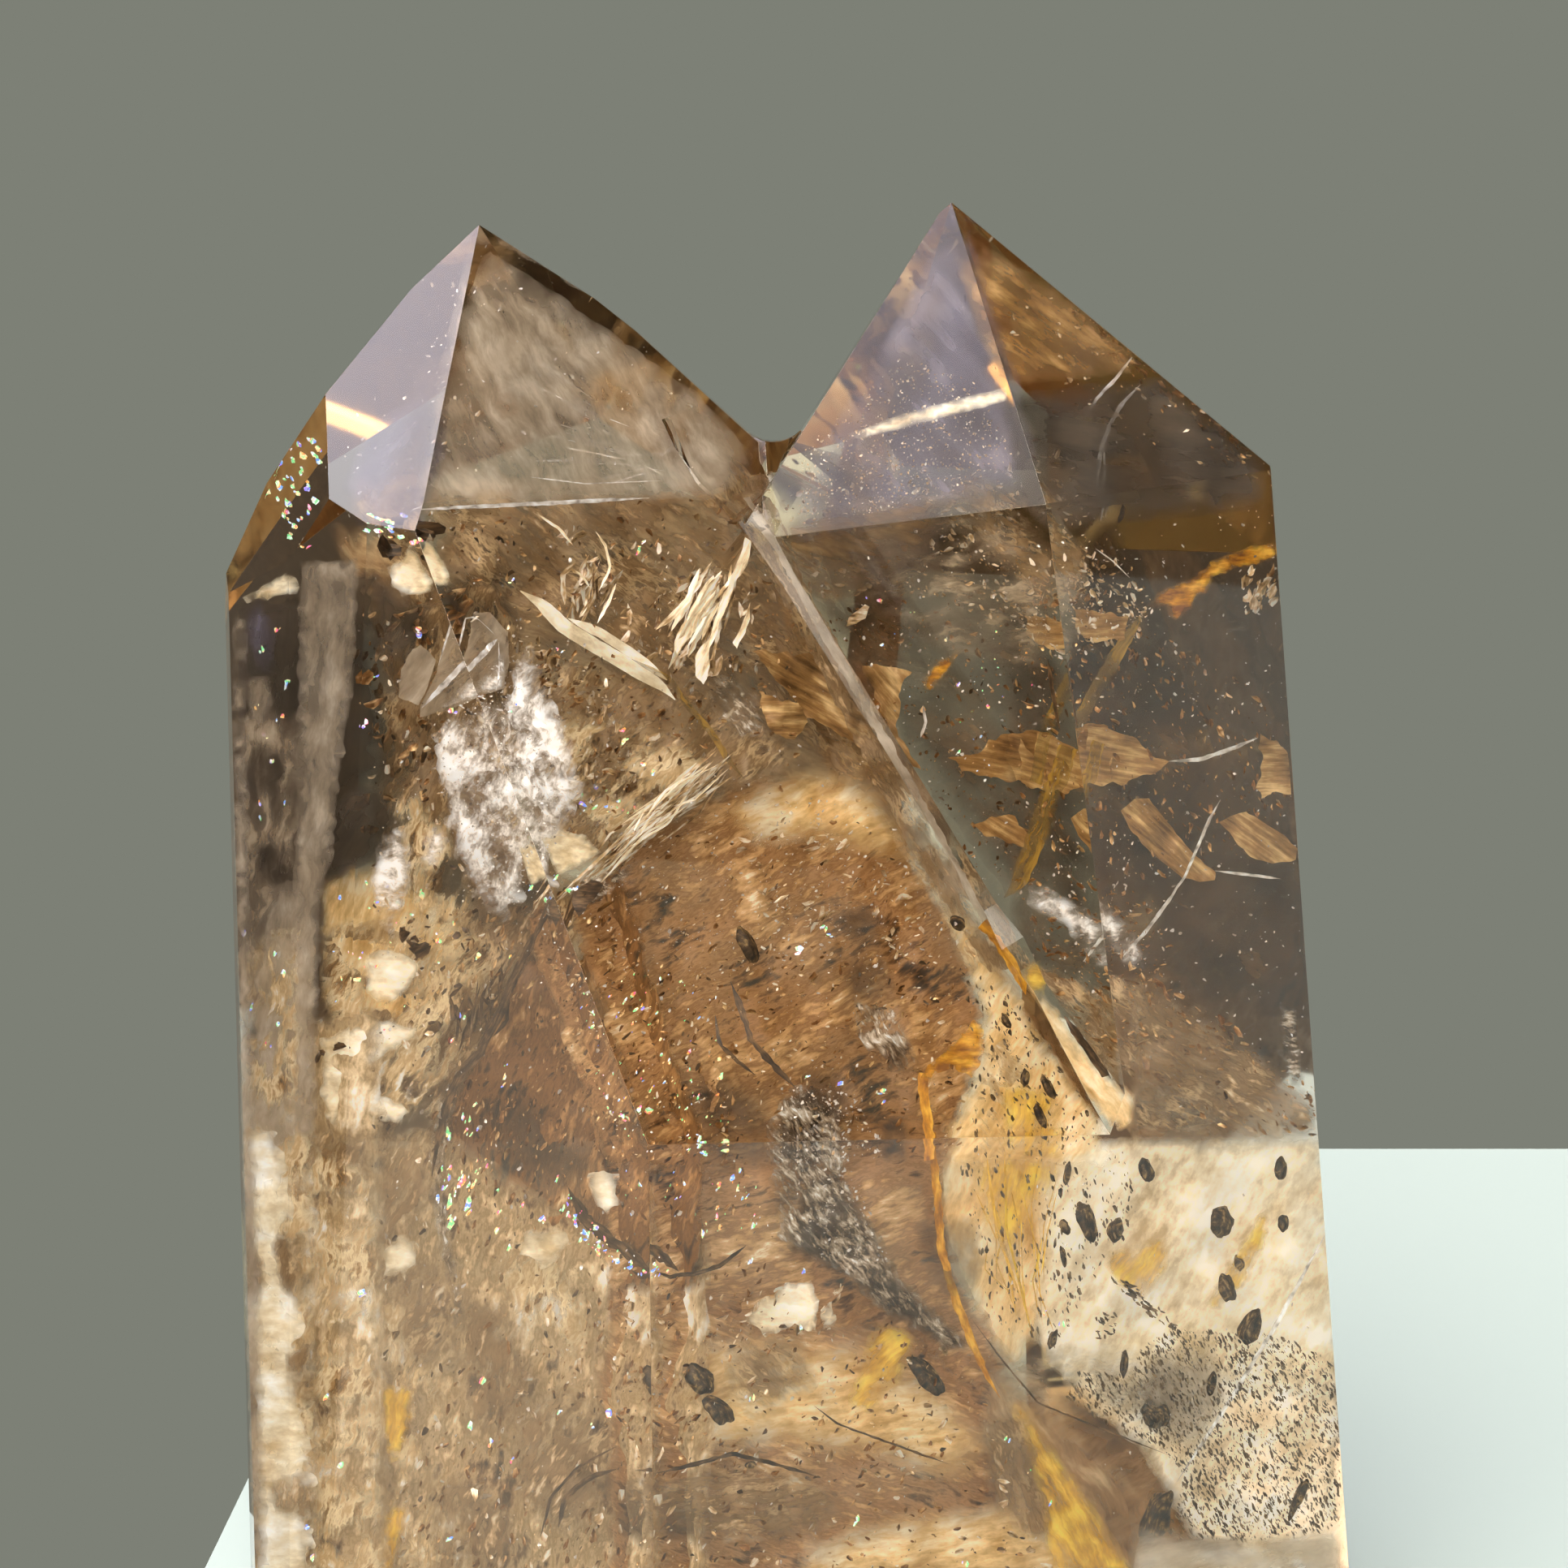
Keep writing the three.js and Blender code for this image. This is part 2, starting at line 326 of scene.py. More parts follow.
@dataclass(frozen=True)
class GrownFinish:
    """The look of one kind of flaw in quartz: a healed crack, an air film, a stain or a grain.

    Tones are the steps of its ramp, which may turn back between dark and light. The coarse
    blotches' size and the length and width of the grain's largest strokes are in millimetres,
    and each octave halves the strokes. Swirl is how far in millimetres the blotches carry the
    strokes along. Cover gives how opaque its thin and thick places are. Its glow is painted
    light: the finish shines in its own tones, standing in for glints of the sun inside it, each
    too small to build. Some finishes are painted light or shade as a whole, and their notes say so.
    """

    name: str
    tones: tuple[str, ...]
    coarse: float
    grain: tuple[float, float]
    fine_share: float = 0.6
    swirl: float = 0.0
    cover: tuple[float, float] = (1.0, 1.0)
    cover_size: float = 2.0
    cover_edge: float = 0.08
    metallic: float = 0.0
    roughness: float = 0.45
    relief: float = 0.0
    octaves: float = 4.0
    painted_glow: float = 0.0
    spread: tuple[float, float] = (0.34, 0.66)
    coarse_octaves: float = 4.0
    coarse_edge: float = 0.55
    fine_edge: float = 0.62
    crease: float = 0.7
    cover_octaves: float = 1.0
    cover_level: float = 0.5
    cover_grain: float = 0.5

    def material(self) -> bpy.types.Material:
        """Makes the material from coarse blotches and drawn-out grain.

        Returns:
            The material, for a mesh that has the grain and fade layers.
        """
        made = bpy.data.materials.new(self.name)
        made.use_nodes = True
        tree = made.node_tree
        tree.nodes.clear()
        place = add_node(tree, "ShaderNodeUVMap", uv_map="grain").outputs[0]
        coarse = add_node(
            tree, "ShaderNodeTexNoise", noise_dimensions="2D", Vector=place,
            Scale=1 / self.coarse, Detail=self.coarse_octaves, Roughness=self.coarse_edge,
        )
        swirled = add_node(
            tree, "ShaderNodeVectorMath", operation="MULTIPLY_ADD", i0=coarse.outputs[1],
            i1=(self.swirl, self.swirl, 0), i2=place,
        )
        length, width = self.grain
        drawn_out = add_node(
            tree, "ShaderNodeMapping", Vector=swirled.outputs[0],
            Scale=(1 / length, 1 / width, 1),
        )
        fine = add_node(
            tree, "ShaderNodeTexNoise", noise_dimensions="2D", Vector=drawn_out.outputs[0],
            Scale=1.0, Detail=self.octaves, Roughness=self.fine_edge,
        )
        tone = add_node(
            tree, "ShaderNodeMix", data_type="FLOAT", i0=self.fine_share,
            i2=coarse.outputs[0], i3=fine.outputs[0],
        )
        ramp = self.tone_ramp(tree, tone.outputs[0])
        shader = add_node(
            tree, "ShaderNodeBsdfPrincipled", Base_Color=ramp, Metallic=self.metallic,
            Roughness=self.roughness,
        )
        if self.relief:
            bump = add_node(
                tree, "ShaderNodeBump", Strength=self.crease, Distance=self.relief * MM,
                Height=fine.outputs[0],
            )
            tree.links.new(bump.outputs[0], shader.inputs["Normal"])
        # Painted light: the finish glows in its own tones, for sun glints that the soft light can't
        # give.
        if self.painted_glow:
            tree.links.new(ramp, shader.inputs["Emission Color"])
            shader.inputs["Emission Strength"].default_value = self.painted_glow
            made.cycles.emission_sampling = "NONE"
        if self.cover != (1.0, 1.0):
            thick = self.thickness(tree, place, fine.outputs[0])
            tree.links.new(thick, shader.inputs["Alpha"])
        add_node(tree, "ShaderNodeOutputMaterial", Surface=shader.outputs[0])
        return made

    def tone_ramp(
        self, tree: bpy.types.NodeTree, tone: bpy.types.NodeSocket,
    ) -> bpy.types.NodeSocket:
        """Turns a value into the finish's tones.

        Args:
            tree: The material's nodes.
            tone: The value, from 0 to 1.

        Returns:
            The colour.
        """
        ramp = add_node(tree, "ShaderNodeValToRGB", Fac=tone)
        stops = ramp.color_ramp.elements
        while len(stops) < len(self.tones):
            stops.new(0.5)
        low, high = self.spread
        for step, (stop, code) in enumerate(zip(stops, self.tones)):
            stop.position = low + (high - low) * step / (len(self.tones) - 1)
            stop.color = linear(code)
        return ramp.outputs[0]

    def thickness(
        self, tree: bpy.types.NodeTree, place: bpy.types.NodeSocket, body: bpy.types.NodeSocket,
    ) -> bpy.types.NodeSocket:
        """Gives how opaque the finish is: patchy inside, and clear toward its rim.

        Args:
            tree: The material's nodes.
            place: The place in the pattern, in millimetres.
            body: The grain, which breaks up the patches' edges.

        Returns:
            The value for the shader's alpha.
        """
        patches = add_node(
            tree, "ShaderNodeTexNoise", noise_dimensions="2D", Vector=place,
            Scale=1 / self.cover_size, Detail=self.cover_octaves,
        )
        broken = add_node(
            tree, "ShaderNodeMix", data_type="FLOAT", i0=self.cover_grain,
            i2=patches.outputs[0], i3=body,
        )
        thick = add_node(
            tree, "ShaderNodeMapRange", Value=broken.outputs[0],
            From_Min=self.cover_level - self.cover_edge,
            From_Max=self.cover_level + self.cover_edge,
            To_Min=self.cover[0], To_Max=self.cover[1],
        )
        fade = add_node(tree, "ShaderNodeAttribute", attribute_name="fade")
        return add_node(
            tree, "ShaderNodeMath", operation="MULTIPLY", i0=thick.outputs[0],
            i1=fade.outputs["Fac"],
        ).outputs[0]


# A big curved fracture, softly combed by growth lines, that shows warm golden brown.
BRUSHED_SMOKE = GrownFinish(
    "brushed_smoky_fracture",
    ("#2E1C0C", "#7A5430", "#B4875A", "#94693E", "#C69A68", "#DDB584", "#FFF2D8"), 5.0,
    (1.6, 0.45), fine_share=0.5, swirl=1.3, cover=(0.9, 1.0), cover_size=4.0,
    cover_edge=0.15, roughness=0.45, octaves=6.0, painted_glow=0.18, spread=(0.34, 0.7),
)
# A darker copy of the same finish for the dome's flank: painted shade, as the flank turns away from the
# window.
BRUSHED_FLANK_PAINTED_SHADE = replace(
    BRUSHED_SMOKE, name="brushed_smoky_flank_painted_shade",
    tones=("#24160A", "#5E4022", "#906438", "#74502C", "#A87A4A", "#C09462", "#F4D8AC"),
)
# Swarms of tiny fluid pockets in a healed crack, which scatter light and look milky.
MILKY_VEIL = GrownFinish(
    "milky_healed_crack", ("#7E7062", "#C0B3A6", "#EFE7DF", "#FFFFFF"), 2.0, (0.6, 0.4),
    fine_share=0.5, swirl=0.8, cover=(0.25, 1.0), cover_size=2.0, cover_edge=0.12,
    roughness=0.45, octaves=6.0, painted_glow=0.5, spread=(0.34, 0.64),
)
# The same pockets spread thin, which makes a tan mist.
TAN_MIST = GrownFinish(
    "tan_veil_of_fluid_pockets", ("#8A6844", "#BC966C", "#E8CCA2"), 5.0, (3.0, 0.7),
    fine_share=0.5, swirl=2.0, cover=(0.55, 0.9), cover_size=4.0, cover_edge=0.15,
    roughness=0.6, octaves=6.0, painted_glow=0.1,
)
# A thin even veil close under the surface, pale as breath on glass.
PALE_HAZE = GrownFinish(
    "pale_surface_haze", ("#9A8872", "#B7A58E", "#D4C4B0"), 4.0, (2.4, 0.7), fine_share=0.4,
    swirl=1.4, cover=(0.4, 0.85), cover_size=3.0, cover_edge=0.15, roughness=0.6,
    octaves=6.0, painted_glow=0.1,
)
# Darker sheets under the faces: layers of smoke in the quartz, and painted shade where the dark
# surround shows through it.
SMOKE_AND_PAINTED_SHADE = GrownFinish(
    "darker_smoke_and_painted_shade", ("#382B1E", "#5A4632", "#80664A"), 4.0, (5.0, 1.2),
    fine_share=0.5, swirl=1.5, cover=(0.4, 0.75), cover_size=3.5, cover_edge=0.15,
    roughness=0.6,
)
# The same sheets where they show nearly black-brown: smoke, and painted shade.
DEEP_SMOKE_AND_PAINTED_SHADE = GrownFinish(
    "deep_smoke_and_painted_shade", ("#2E261D", "#41372B", "#554839"), 5.0, (6.0, 1.4),
    fine_share=0.4, cover=(0.75, 0.92), cover_size=4.0, roughness=0.5,
)
# Yellow smoke high in the right-hand point, and a smooth brown plane under the notch.
GOLDEN_HAZE = GrownFinish(
    "layer_of_golden_smoke", ("#7E5A30", "#AA8048", "#DDB276"), 3.0, (3.0, 0.7),
    fine_share=0.5, cover=(0.4, 0.85), cover_size=2.5, cover_edge=0.12, roughness=0.5,
)
# Wide-open crack blades that shine cream, freckled where the walls touch.
PALE_BLADE = GrownFinish(
    "pale_crack_blades", ("#94703F", "#EAD4AC", "#FFF8EA"), 1.2, (2.2, 0.28), fine_share=0.65,
    metallic=0.05, roughness=0.35, relief=0.05, painted_glow=0.35, spread=(0.34, 0.6),
)
# A mist with grey ash in it.
GREY_MIST = GrownFinish(
    "grey_veil_of_fluid_pockets", ("#5A4C3C", "#A08A6E", "#DCC8AC"), 2.5, (2.4, 0.6),
    swirl=1.5, cover=(0.1, 0.7), cover_size=2.5, cover_edge=0.12, roughness=0.55, octaves=5.0,
)
# Crumpled cracks that cross each other, warm brown with bright creases.
CRUMPLED_BROWN = GrownFinish(
    "crumpled_brown_cracks",
    ("#34220F", "#6C5032", "#E4C598", "#886A46", "#A2845E", "#8A6C48", "#D6B488", "#FFEFD4"),
    3.6, (1.8, 0.5), fine_share=0.55, swirl=1.2, cover=(0.35, 0.95), cover_size=2.4,
    cover_edge=0.1, metallic=0.05, roughness=0.4, octaves=6.0, painted_glow=0.04,
    spread=(0.3, 0.7),
)
# Crumpled cracks with air in them, seen cream.
CRUMPLED_CREAM = GrownFinish(
    "crumpled_cream_cracks", ("#6E4E2A", "#B88F5C", "#FBE6BC", "#CBA878", "#EACFA0", "#FFFFFF"),
    2.6, (1.6, 0.45), fine_share=0.55, swirl=1.2, cover=(0.0, 0.9), cover_size=2.2,
    cover_edge=0.06, roughness=0.4, octaves=5.0, painted_glow=0.1, spread=(0.32, 0.68),
)
# Blurred folds deep behind the side facets, with soft pale blots.
BLURRED_FOLDS = GrownFinish(
    "blurred_deep_folds",
    ("#43331F", "#85694A", "#C2A880", "#A0845C", "#D2B68C", "#F0DAB6", "#FFFAF0"), 4.5,
    (1.5, 0.6), fine_share=0.46, swirl=1.2, cover=(0.9, 1.0), cover_size=2.2,
    cover_edge=0.12, roughness=0.5, octaves=6.0, painted_glow=0.24, spread=(0.35, 0.66),
)
# A film of iron-tinted fluid, clear and yellow as honey.
HONEY_FILM = GrownFinish(
    "honey_coloured_film", ("#C89A56", "#F0CC90", "#FFF3D4"), 3.0, (1.8, 0.5), fine_share=0.45,
    swirl=0.8, cover=(0.75, 1.0), cover_size=2.5, cover_edge=0.12, roughness=0.4,
    octaves=5.0, painted_glow=0.36,
)
# Painted reflection: a lilac sheet just under the polish that stands in for the window light the facets
# mirror.
LILAC_PAINTED_REFLECTION = GrownFinish(
    "painted_lilac_window_reflection", ("#46425A", "#6E6A84", "#A39CB0"), 4.0, (5.0, 1.2),
    fine_share=0.5, cover=(0.35, 0.65), cover_size=4.0, cover_edge=0.15, roughness=0.5,
)
# Quartz with crushed black and silver fractures.
CRUSHED_SILVER = GrownFinish(
    "crushed_dark_fractures", ("#1C140D", "#4A3826", "#8A7660", "#C8B8A4", "#FFFFFF"), 2.2,
    (0.7, 0.25), fine_share=0.6, swirl=0.8, cover=(0.3, 1.0), cover_size=1.5, metallic=0.1,
    roughness=0.3, relief=0.1, octaves=6.0, painted_glow=0.16, spread=(0.34, 0.66),
)
# A smooth air film in a crack, cream like paper: a painted reflection of the bright floor, which the
# real film mirrors.
CREAM_FILM_PAINTED_REFLECTION = GrownFinish(
    "cream_air_film_painted_reflection", ("#CDB48A", "#F2E4C6", "#FFFDF4"), 3.0, (1.2, 0.6), fine_share=0.4,
    cover=(0.8, 1.0), cover_size=2.0, roughness=0.4, octaves=5.0, painted_glow=0.42,
)
# Small open cracks that flash cream.
CREAM_FLAKE = GrownFinish(
    "cream_fracture_flakes", ("#5E4020", "#CBAA7B", "#FFF6E6"), 0.8, (1.2, 0.3),
    metallic=0.3, roughness=0.35, painted_glow=0.14, octaves=2.0, spread=(0.36, 0.6),
)
# Small open cracks seen through browner quartz.
GOLD_FLAKE = GrownFinish(
    "golden_fracture_flakes", ("#3A230F", "#A37340", "#FFDDA6"), 0.8, (1.0, 0.3),
    metallic=0.45, roughness=0.36, octaves=2.0,
)
# Tiny clear pockets and cracks that glitter white.
SILVER_FLAKE = GrownFinish(
    "silver_fluid_pockets", ("#9C9288", "#E2D8CE", "#FFFFFF"), 0.5, (0.6, 0.3),
    metallic=0.4, roughness=0.25, octaves=1.0, painted_glow=0.26,
)
# Smooth leaf-shaped cracks, dull gold like old paper.
GOLDEN_LEAF = GrownFinish(
    "golden_leaf_cracks", ("#6A4A28", "#AC824E", "#EAC88E"), 2.0, (2.6, 0.35), fine_share=0.6,
    metallic=0.1, roughness=0.42, relief=0.04, painted_glow=0.1, spread=(0.34, 0.68),
)
# Thick iron rust in an open crack.
IRON_RUST = GrownFinish(
    "iron_rust_in_crack", ("#8A4E08", "#D08C18", "#FFC84A"), 1.8, (1.4, 0.4), fine_share=0.6,
    cover=(0.85, 1.0), roughness=0.5, painted_glow=0.14,
)
# Thin iron stain that tints a healed crack yellow.
IRON_STAIN = GrownFinish(
    "thin_iron_stain", ("#BC8616", "#E6AE24", "#FFDC58"), 2.0, (3.0, 0.5), fine_share=0.5,
    swirl=0.8, cover=(0.4, 0.92), cover_size=2.0, cover_edge=0.12, roughness=0.5, painted_glow=0.2,
)
# The same stain before dark quartz, where it looks like mustard.
MUSTARD_STAIN = GrownFinish(
    "mustard_iron_stain", ("#5E4510", "#94701E", "#C79B34"), 2.5, (4.0, 0.5), fine_share=0.6,
    swirl=1.0, cover=(0.35, 0.8), cover_size=2.5, cover_edge=0.15, roughness=0.5,
)
# Negative crystals with a dark skin, like small seeds.
DARK_SEED = GrownFinish(
    "dark_negative_crystals", ("#21180F", "#54402A", "#B0905F"), 0.7, (0.5, 0.25),
    roughness=0.6, relief=0.05, octaves=4.0, painted_glow=0.12, spread=(0.4, 0.66),
)
# The sharp edge of a crack seen end on, which lets no light through.
DARK_CRACK = GrownFinish(
    "dark_crack_edges", ("#2A1D12", "#543E28", "#8A6A48"), 0.9, (1.0, 0.2), roughness=0.45,
    octaves=2.0, painted_glow=0.05,
)
# Air films so thin that they show rainbow colours, their strong glow a painted highlight for glints of
# the sun.
RAINBOW_FILM = GrownFinish(
    "rainbow_air_film",
    ("#FFFFFF", "#FF58AC", "#FFB23C", "#FFF2C4", "#5CE488", "#FFFFFF", "#58A8FF", "#A47CFF",
     "#FFFFFF"),
    0.9, (1.4, 0.8), fine_share=0.4, metallic=0.2, roughness=0.2, octaves=1.0, painted_glow=0.7,
    spread=(0.34, 0.66),
)
# Short dark etch marks in rows.
ETCH_MARK = GrownFinish(
    "dark_etch_marks", ("#33281C", "#6B573E", "#A58F6E"), 0.8, (0.8, 0.25), roughness=0.5,
    octaves=1.0,
)


@dataclass
class Growth:
    """Everything of one finish that grew in one place, gathered into one piece."""

    name: str
    finish: GrownFinish
    view: Viewpoint
    chance: random.Random
    smooth: bool = True
    corners: list[Vector] = field(default_factory=list)
    faces: list[tuple[int, ...]] = field(default_factory=list)
    grain: list[tuple[float, float]] = field(default_factory=list)
    fade: list[float] = field(default_factory=list)

    def add(
        self, corners: list[Vector], faces: list[tuple[int, ...]],
        grain: list[tuple[float, float]], fade: list[float] | None = None,
    ) -> None:
        """Adds a patch of faces, held inside the crystal.

        Args:
            corners: The patch's points in metres.
            faces: Its faces by the numbers of their points.
            grain: The place of each point in the finish's pattern, in millimetres.
            fade: How solid the finish is at each point, from 0 to 1.
        """
        start = len(self.corners)
        self.corners += [self.view.held_inside(c) for c in corners]
        self.faces += [tuple(start + i for i in face) for face in faces]
        self.grain += grain
        self.fade += fade or [1.0] * len(corners)

    def build(self) -> bpy.types.Object:
        """Makes the piece from all its patches and dresses it.

        Returns:
            The finished piece.
        """
        mesh = bpy.data.meshes.new(self.name)
        mesh.from_pydata(self.corners, [], self.faces)
        pattern = mesh.uv_layers.new(name="grain")
        for loop in mesh.loops:
            pattern.data[loop.index].uv = self.grain[loop.vertex_index]
        solid = mesh.attributes.new("fade", "FLOAT", "POINT")
        solid.data.foreach_set("value", self.fade)
        if self.smooth:
            mesh.shade_smooth()
        else:
            mesh.shade_flat()
        mesh.materials.append(self.finish.material())
        piece = bpy.data.objects.new(self.name, mesh)
        bpy.context.scene.collection.objects.link(piece)
        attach(piece, "root")
        return piece


class Patch(Protocol):
    """Anything that can be laid into a growth."""

    def lay(self, growth: Growth) -> None:
        """Adds the patch's faces to the growth."""


@dataclass(frozen=True)
class Sheet:
    """A curved film that fills an outline of the reference view, at a depth under a facet.

    Depth, bulge and relief are in millimetres, and slope in millimetres of depth for each
    slope reach across and down. Soft, ragged, cell, the slope reach, both kinds of waves and
    the weld are in pixels, grain in degrees. The rim's steps and gap and the jitter are
    shares of a cell. The roughness is the relief fractal's dimension, gap and octaves.
    """

    facet: Facet
    outline: Pixels
    depth: float
    slope: tuple[float, float] = (0.0, 0.0)
    bulge: float = 0.0
    relief: float = 0.5
    grain: float = 0.0
    soft: float = 16.0
    ragged: float = 5.0
    cell: float = 14.0
    slope_reach: float = 100.0
    rim_step: float = 0.6
    rim_gap: float = 0.7
    jitter: float = 0.25
    rim_waves: float = 13.0
    waves: float = 70.0
    roughness: tuple[float, float, int] = (0.8, 2.2, 4)
    weld: float = 0.001

    def rough_outline(self) -> list[tuple[float, float]]:
        """Breaks the outline into short steps that wander a little, as a crack's edge does.

        Returns:
            The rim's points in pixels.
        """
        points = []
        for start, end in zip(self.outline, self.outline[1:] + self.outline[:1]):
            steps = max(1, round(math.dist(start, end) / (self.cell * self.rim_step)))
            for step in range(steps):
                x = start[0] + (end[0] - start[0]) * step / steps
                y = start[1] + (end[1] - start[1]) * step / steps
                stray = noise.noise_vector(Vector((x / self.rim_waves, y / self.rim_waves, self.depth)))
                points.append((x + stray.x * self.ragged, y + stray.y * self.ragged))
        return points

    def lay(self, growth: Growth) -> None:
        """Adds the film to the growth.

        Args:
            growth: The growth that takes it.
        """
        rim = self.rough_outline()
        spots = [Vector(p) for p in rim]
        edges = [(i, (i + 1) % len(rim)) for i in range(len(rim))]
        lows = [min(p[k] for p in rim) for k in (0, 1)]
        highs = [max(p[k] for p in rim) for k in (0, 1)]
        middle = [(low + high) / 2 for low, high in zip(lows, highs)]
        half = [max(1.0, (high - low) / 2) for low, high in zip(lows, highs)]
        rows = int((highs[1] - lows[1]) / self.cell) + 1
        columns = int((highs[0] - lows[0]) / self.cell) + 1
        wall = tuple(rim)
        for row in range(rows):
            for column in range(columns):
                x = lows[0] + (column + 0.5 * (row % 2)) * self.cell
                y = lows[1] + row * self.cell
                x += growth.chance.uniform(-self.jitter, self.jitter) * self.cell
                y += growth.chance.uniform(-self.jitter, self.jitter) * self.cell
                if not is_within((x, y), wall):
                    continue
                if rim_distance((x, y), self.outline) > self.cell * self.rim_gap:
                    spots.append(Vector((x, y)))
        made = geometry.delaunay_2d_cdt(spots, edges, [], 1, self.weld)
        window = Window(growth.view, self.facet)
        turn = math.radians(self.grain)
        corners, grain, fade = [], [], []
        for spot in made[0]:
            x, y = spot
            off = [(x - middle[0]) / half[0], (y - middle[1]) / half[1]]
            depth = self.depth + self.slope[0] * (x - middle[0]) / self.slope_reach
            depth += self.slope[1] * (y - middle[1]) / self.slope_reach
            depth += self.bulge * (off[0] ** 2 + off[1] ** 2)
            wave = Vector((x / self.waves, y / self.waves, self.depth))
            depth += self.relief * noise.fractal(wave, *self.roughness)
            corners.append(window.inside(x, y, depth))
            a, b = x / growth.view.pixels_per_mm, -y / growth.view.pixels_per_mm
            grain.append((a * math.cos(turn) + b * math.sin(turn),
                          b * math.cos(turn) - a * math.sin(turn)))
            clear = rim_distance((x, y), self.outline) / self.soft if self.soft else 1.0
            fade.append(min(1.0, clear))
        growth.add(corners, [tuple(f) for f in made[2]], grain, fade)


@dataclass(frozen=True)
class Drift:
    """A drift of small crack flakes within an outline, between two depths under a facet.

    Depths and sizes are in millimetres. Lean is the way that the flakes point in the
    reference view, in degrees up from its right, and sway is how far they stray from it.
    Slim is length over width. Tilt turns them out of the view's plane, and flash is the
    share that mirrors the window, each a little astray. Few large sets how much rarer the
    large ones are. The spans are shares that each flake draws its own from, and edge on is
    the flattest that a flake may lie to the view.
    """

    facet: Facet
    outline: Pixels
    depths: tuple[float, float]
    count: int
    sizes: tuple[float, float] = (0.15, 1.0)
    slim: float = 2.2
    lean: float = 0.0
    sway: float = 90.0
    tilt: float = 0.8
    flash: float = 0.2
    curl: float = 0.15
    few_large: int = 3
    astray: float = 0.09
    edge_on: float = -0.3
    corner_span: tuple[int, int] = (5, 8)
    corner_turn: float = 0.3
    slim_span: tuple[float, float] = (0.7, 1.4)
    long_span: tuple[float, float] = (0.7, 1.15)
    wide_span: tuple[float, float] = (0.6, 1.2)

    def lay(self, growth: Growth) -> None:
        """Adds the flakes to the growth.

        Args:
            growth: The growth that takes them.
        """
        window = Window(growth.view, self.facet)
        chance = growth.chance
        lows = [min(p[k] for p in self.outline) for k in (0, 1)]
        highs = [max(p[k] for p in self.outline) for k in (0, 1)]
        made = 0
        while made < self.count:
            spot = (chance.uniform(lows[0], highs[0]), chance.uniform(lows[1], highs[1]))
            if is_within(spot, self.outline):
                small, large = self.sizes
                size = small + (large - small) * chance.random() ** self.few_large
                lean = self.lean + chance.uniform(-self.sway, self.sway)
                depth = chance.uniform(*self.depths)
                self.lay_flake(growth, window, spot, depth, size, lean)
                made += 1

    def lay_flake(
        self, growth: Growth, window: Window, spot: tuple[float, float], depth: float,
        size: float, lean: float,
    ) -> None:
        """Adds one flake: an uneven polygon, a little curled.

        Args:
            growth: The growth that takes it.
            window: The facet that it shows through.
            spot: The pixel of its middle.
            depth: Its depth in millimetres.
            size: Its length in millimetres.
            lean: The way it points in the view, in degrees.
        """
        chance = growth.chance
        middle = window.inside(*spot, depth)
        per_pixel = [window.inside(spot[0] + 1, spot[1], depth) - middle,
                     window.inside(spot[0], spot[1] + 1, depth) - middle]
        stray = Vector([chance.gauss(0, 1) for _ in range(3)])
        if chance.random() < self.flash:
            out = (WINDOW_LIGHT.direction - window.ahead).normalized() + stray * self.astray
        else:
            out = stray * self.tilt - window.ahead
        out.normalize()
        facing = min(self.edge_on, window.ahead.dot(out))
        half_long = size * growth.view.pixels_per_mm / 2
        half_wide = half_long / (self.slim * chance.uniform(*self.slim_span))
        turn = math.radians(lean)
        origin = (chance.uniform(0, PATTERN_REACH), chance.uniform(0, PATTERN_REACH))
        count = chance.randint(*self.corner_span)
        corners, grain = [middle], [origin]
        for step in range(count):
            astray = chance.uniform(-self.corner_turn, self.corner_turn)
            angle = 2 * math.pi * (step + astray) / count
            long = math.cos(angle) * half_long * chance.uniform(*self.long_span)
            wide = math.sin(angle) * half_wide * chance.uniform(*self.wide_span)
            x = long * math.cos(turn) - wide * math.sin(turn)
            y = -long * math.sin(turn) - wide * math.cos(turn)
            side = per_pixel[0] * x + per_pixel[1] * y
            side -= window.ahead * (side.dot(out) / facing)
            side += out * (self.curl * size * MM * (long / half_long) ** 2)
            corners.append(middle + side)
            scale = growth.view.pixels_per_mm
            grain.append((origin[0] + long / scale, origin[1] + wide / scale))
        faces = [(0, 1 + step, 1 + (step + 1) % count) for step in range(count)]
        growth.add(corners, faces, grain)


@dataclass(frozen=True)
class Specks(Drift):
    """Small crack flakes, a few at each pixel of the outline instead of within it."""

    count: int = 1
    stray: float = 2.0

    def lay(self, growth: Growth) -> None:
        """Adds the flakes to the growth.

        Args:
            growth: The growth that takes them.
        """
        window = Window(growth.view, self.facet)
        chance = growth.chance
        for across, down in self.outline:
            for _ in range(self.count):
                spot = (across + chance.gauss(0, self.stray), down + chance.gauss(0, self.stray))
                lean = self.lean + chance.uniform(-self.sway, self.sway)
                size = chance.uniform(*self.sizes)
                self.lay_flake(growth, window, spot, chance.uniform(*self.depths), size, lean)


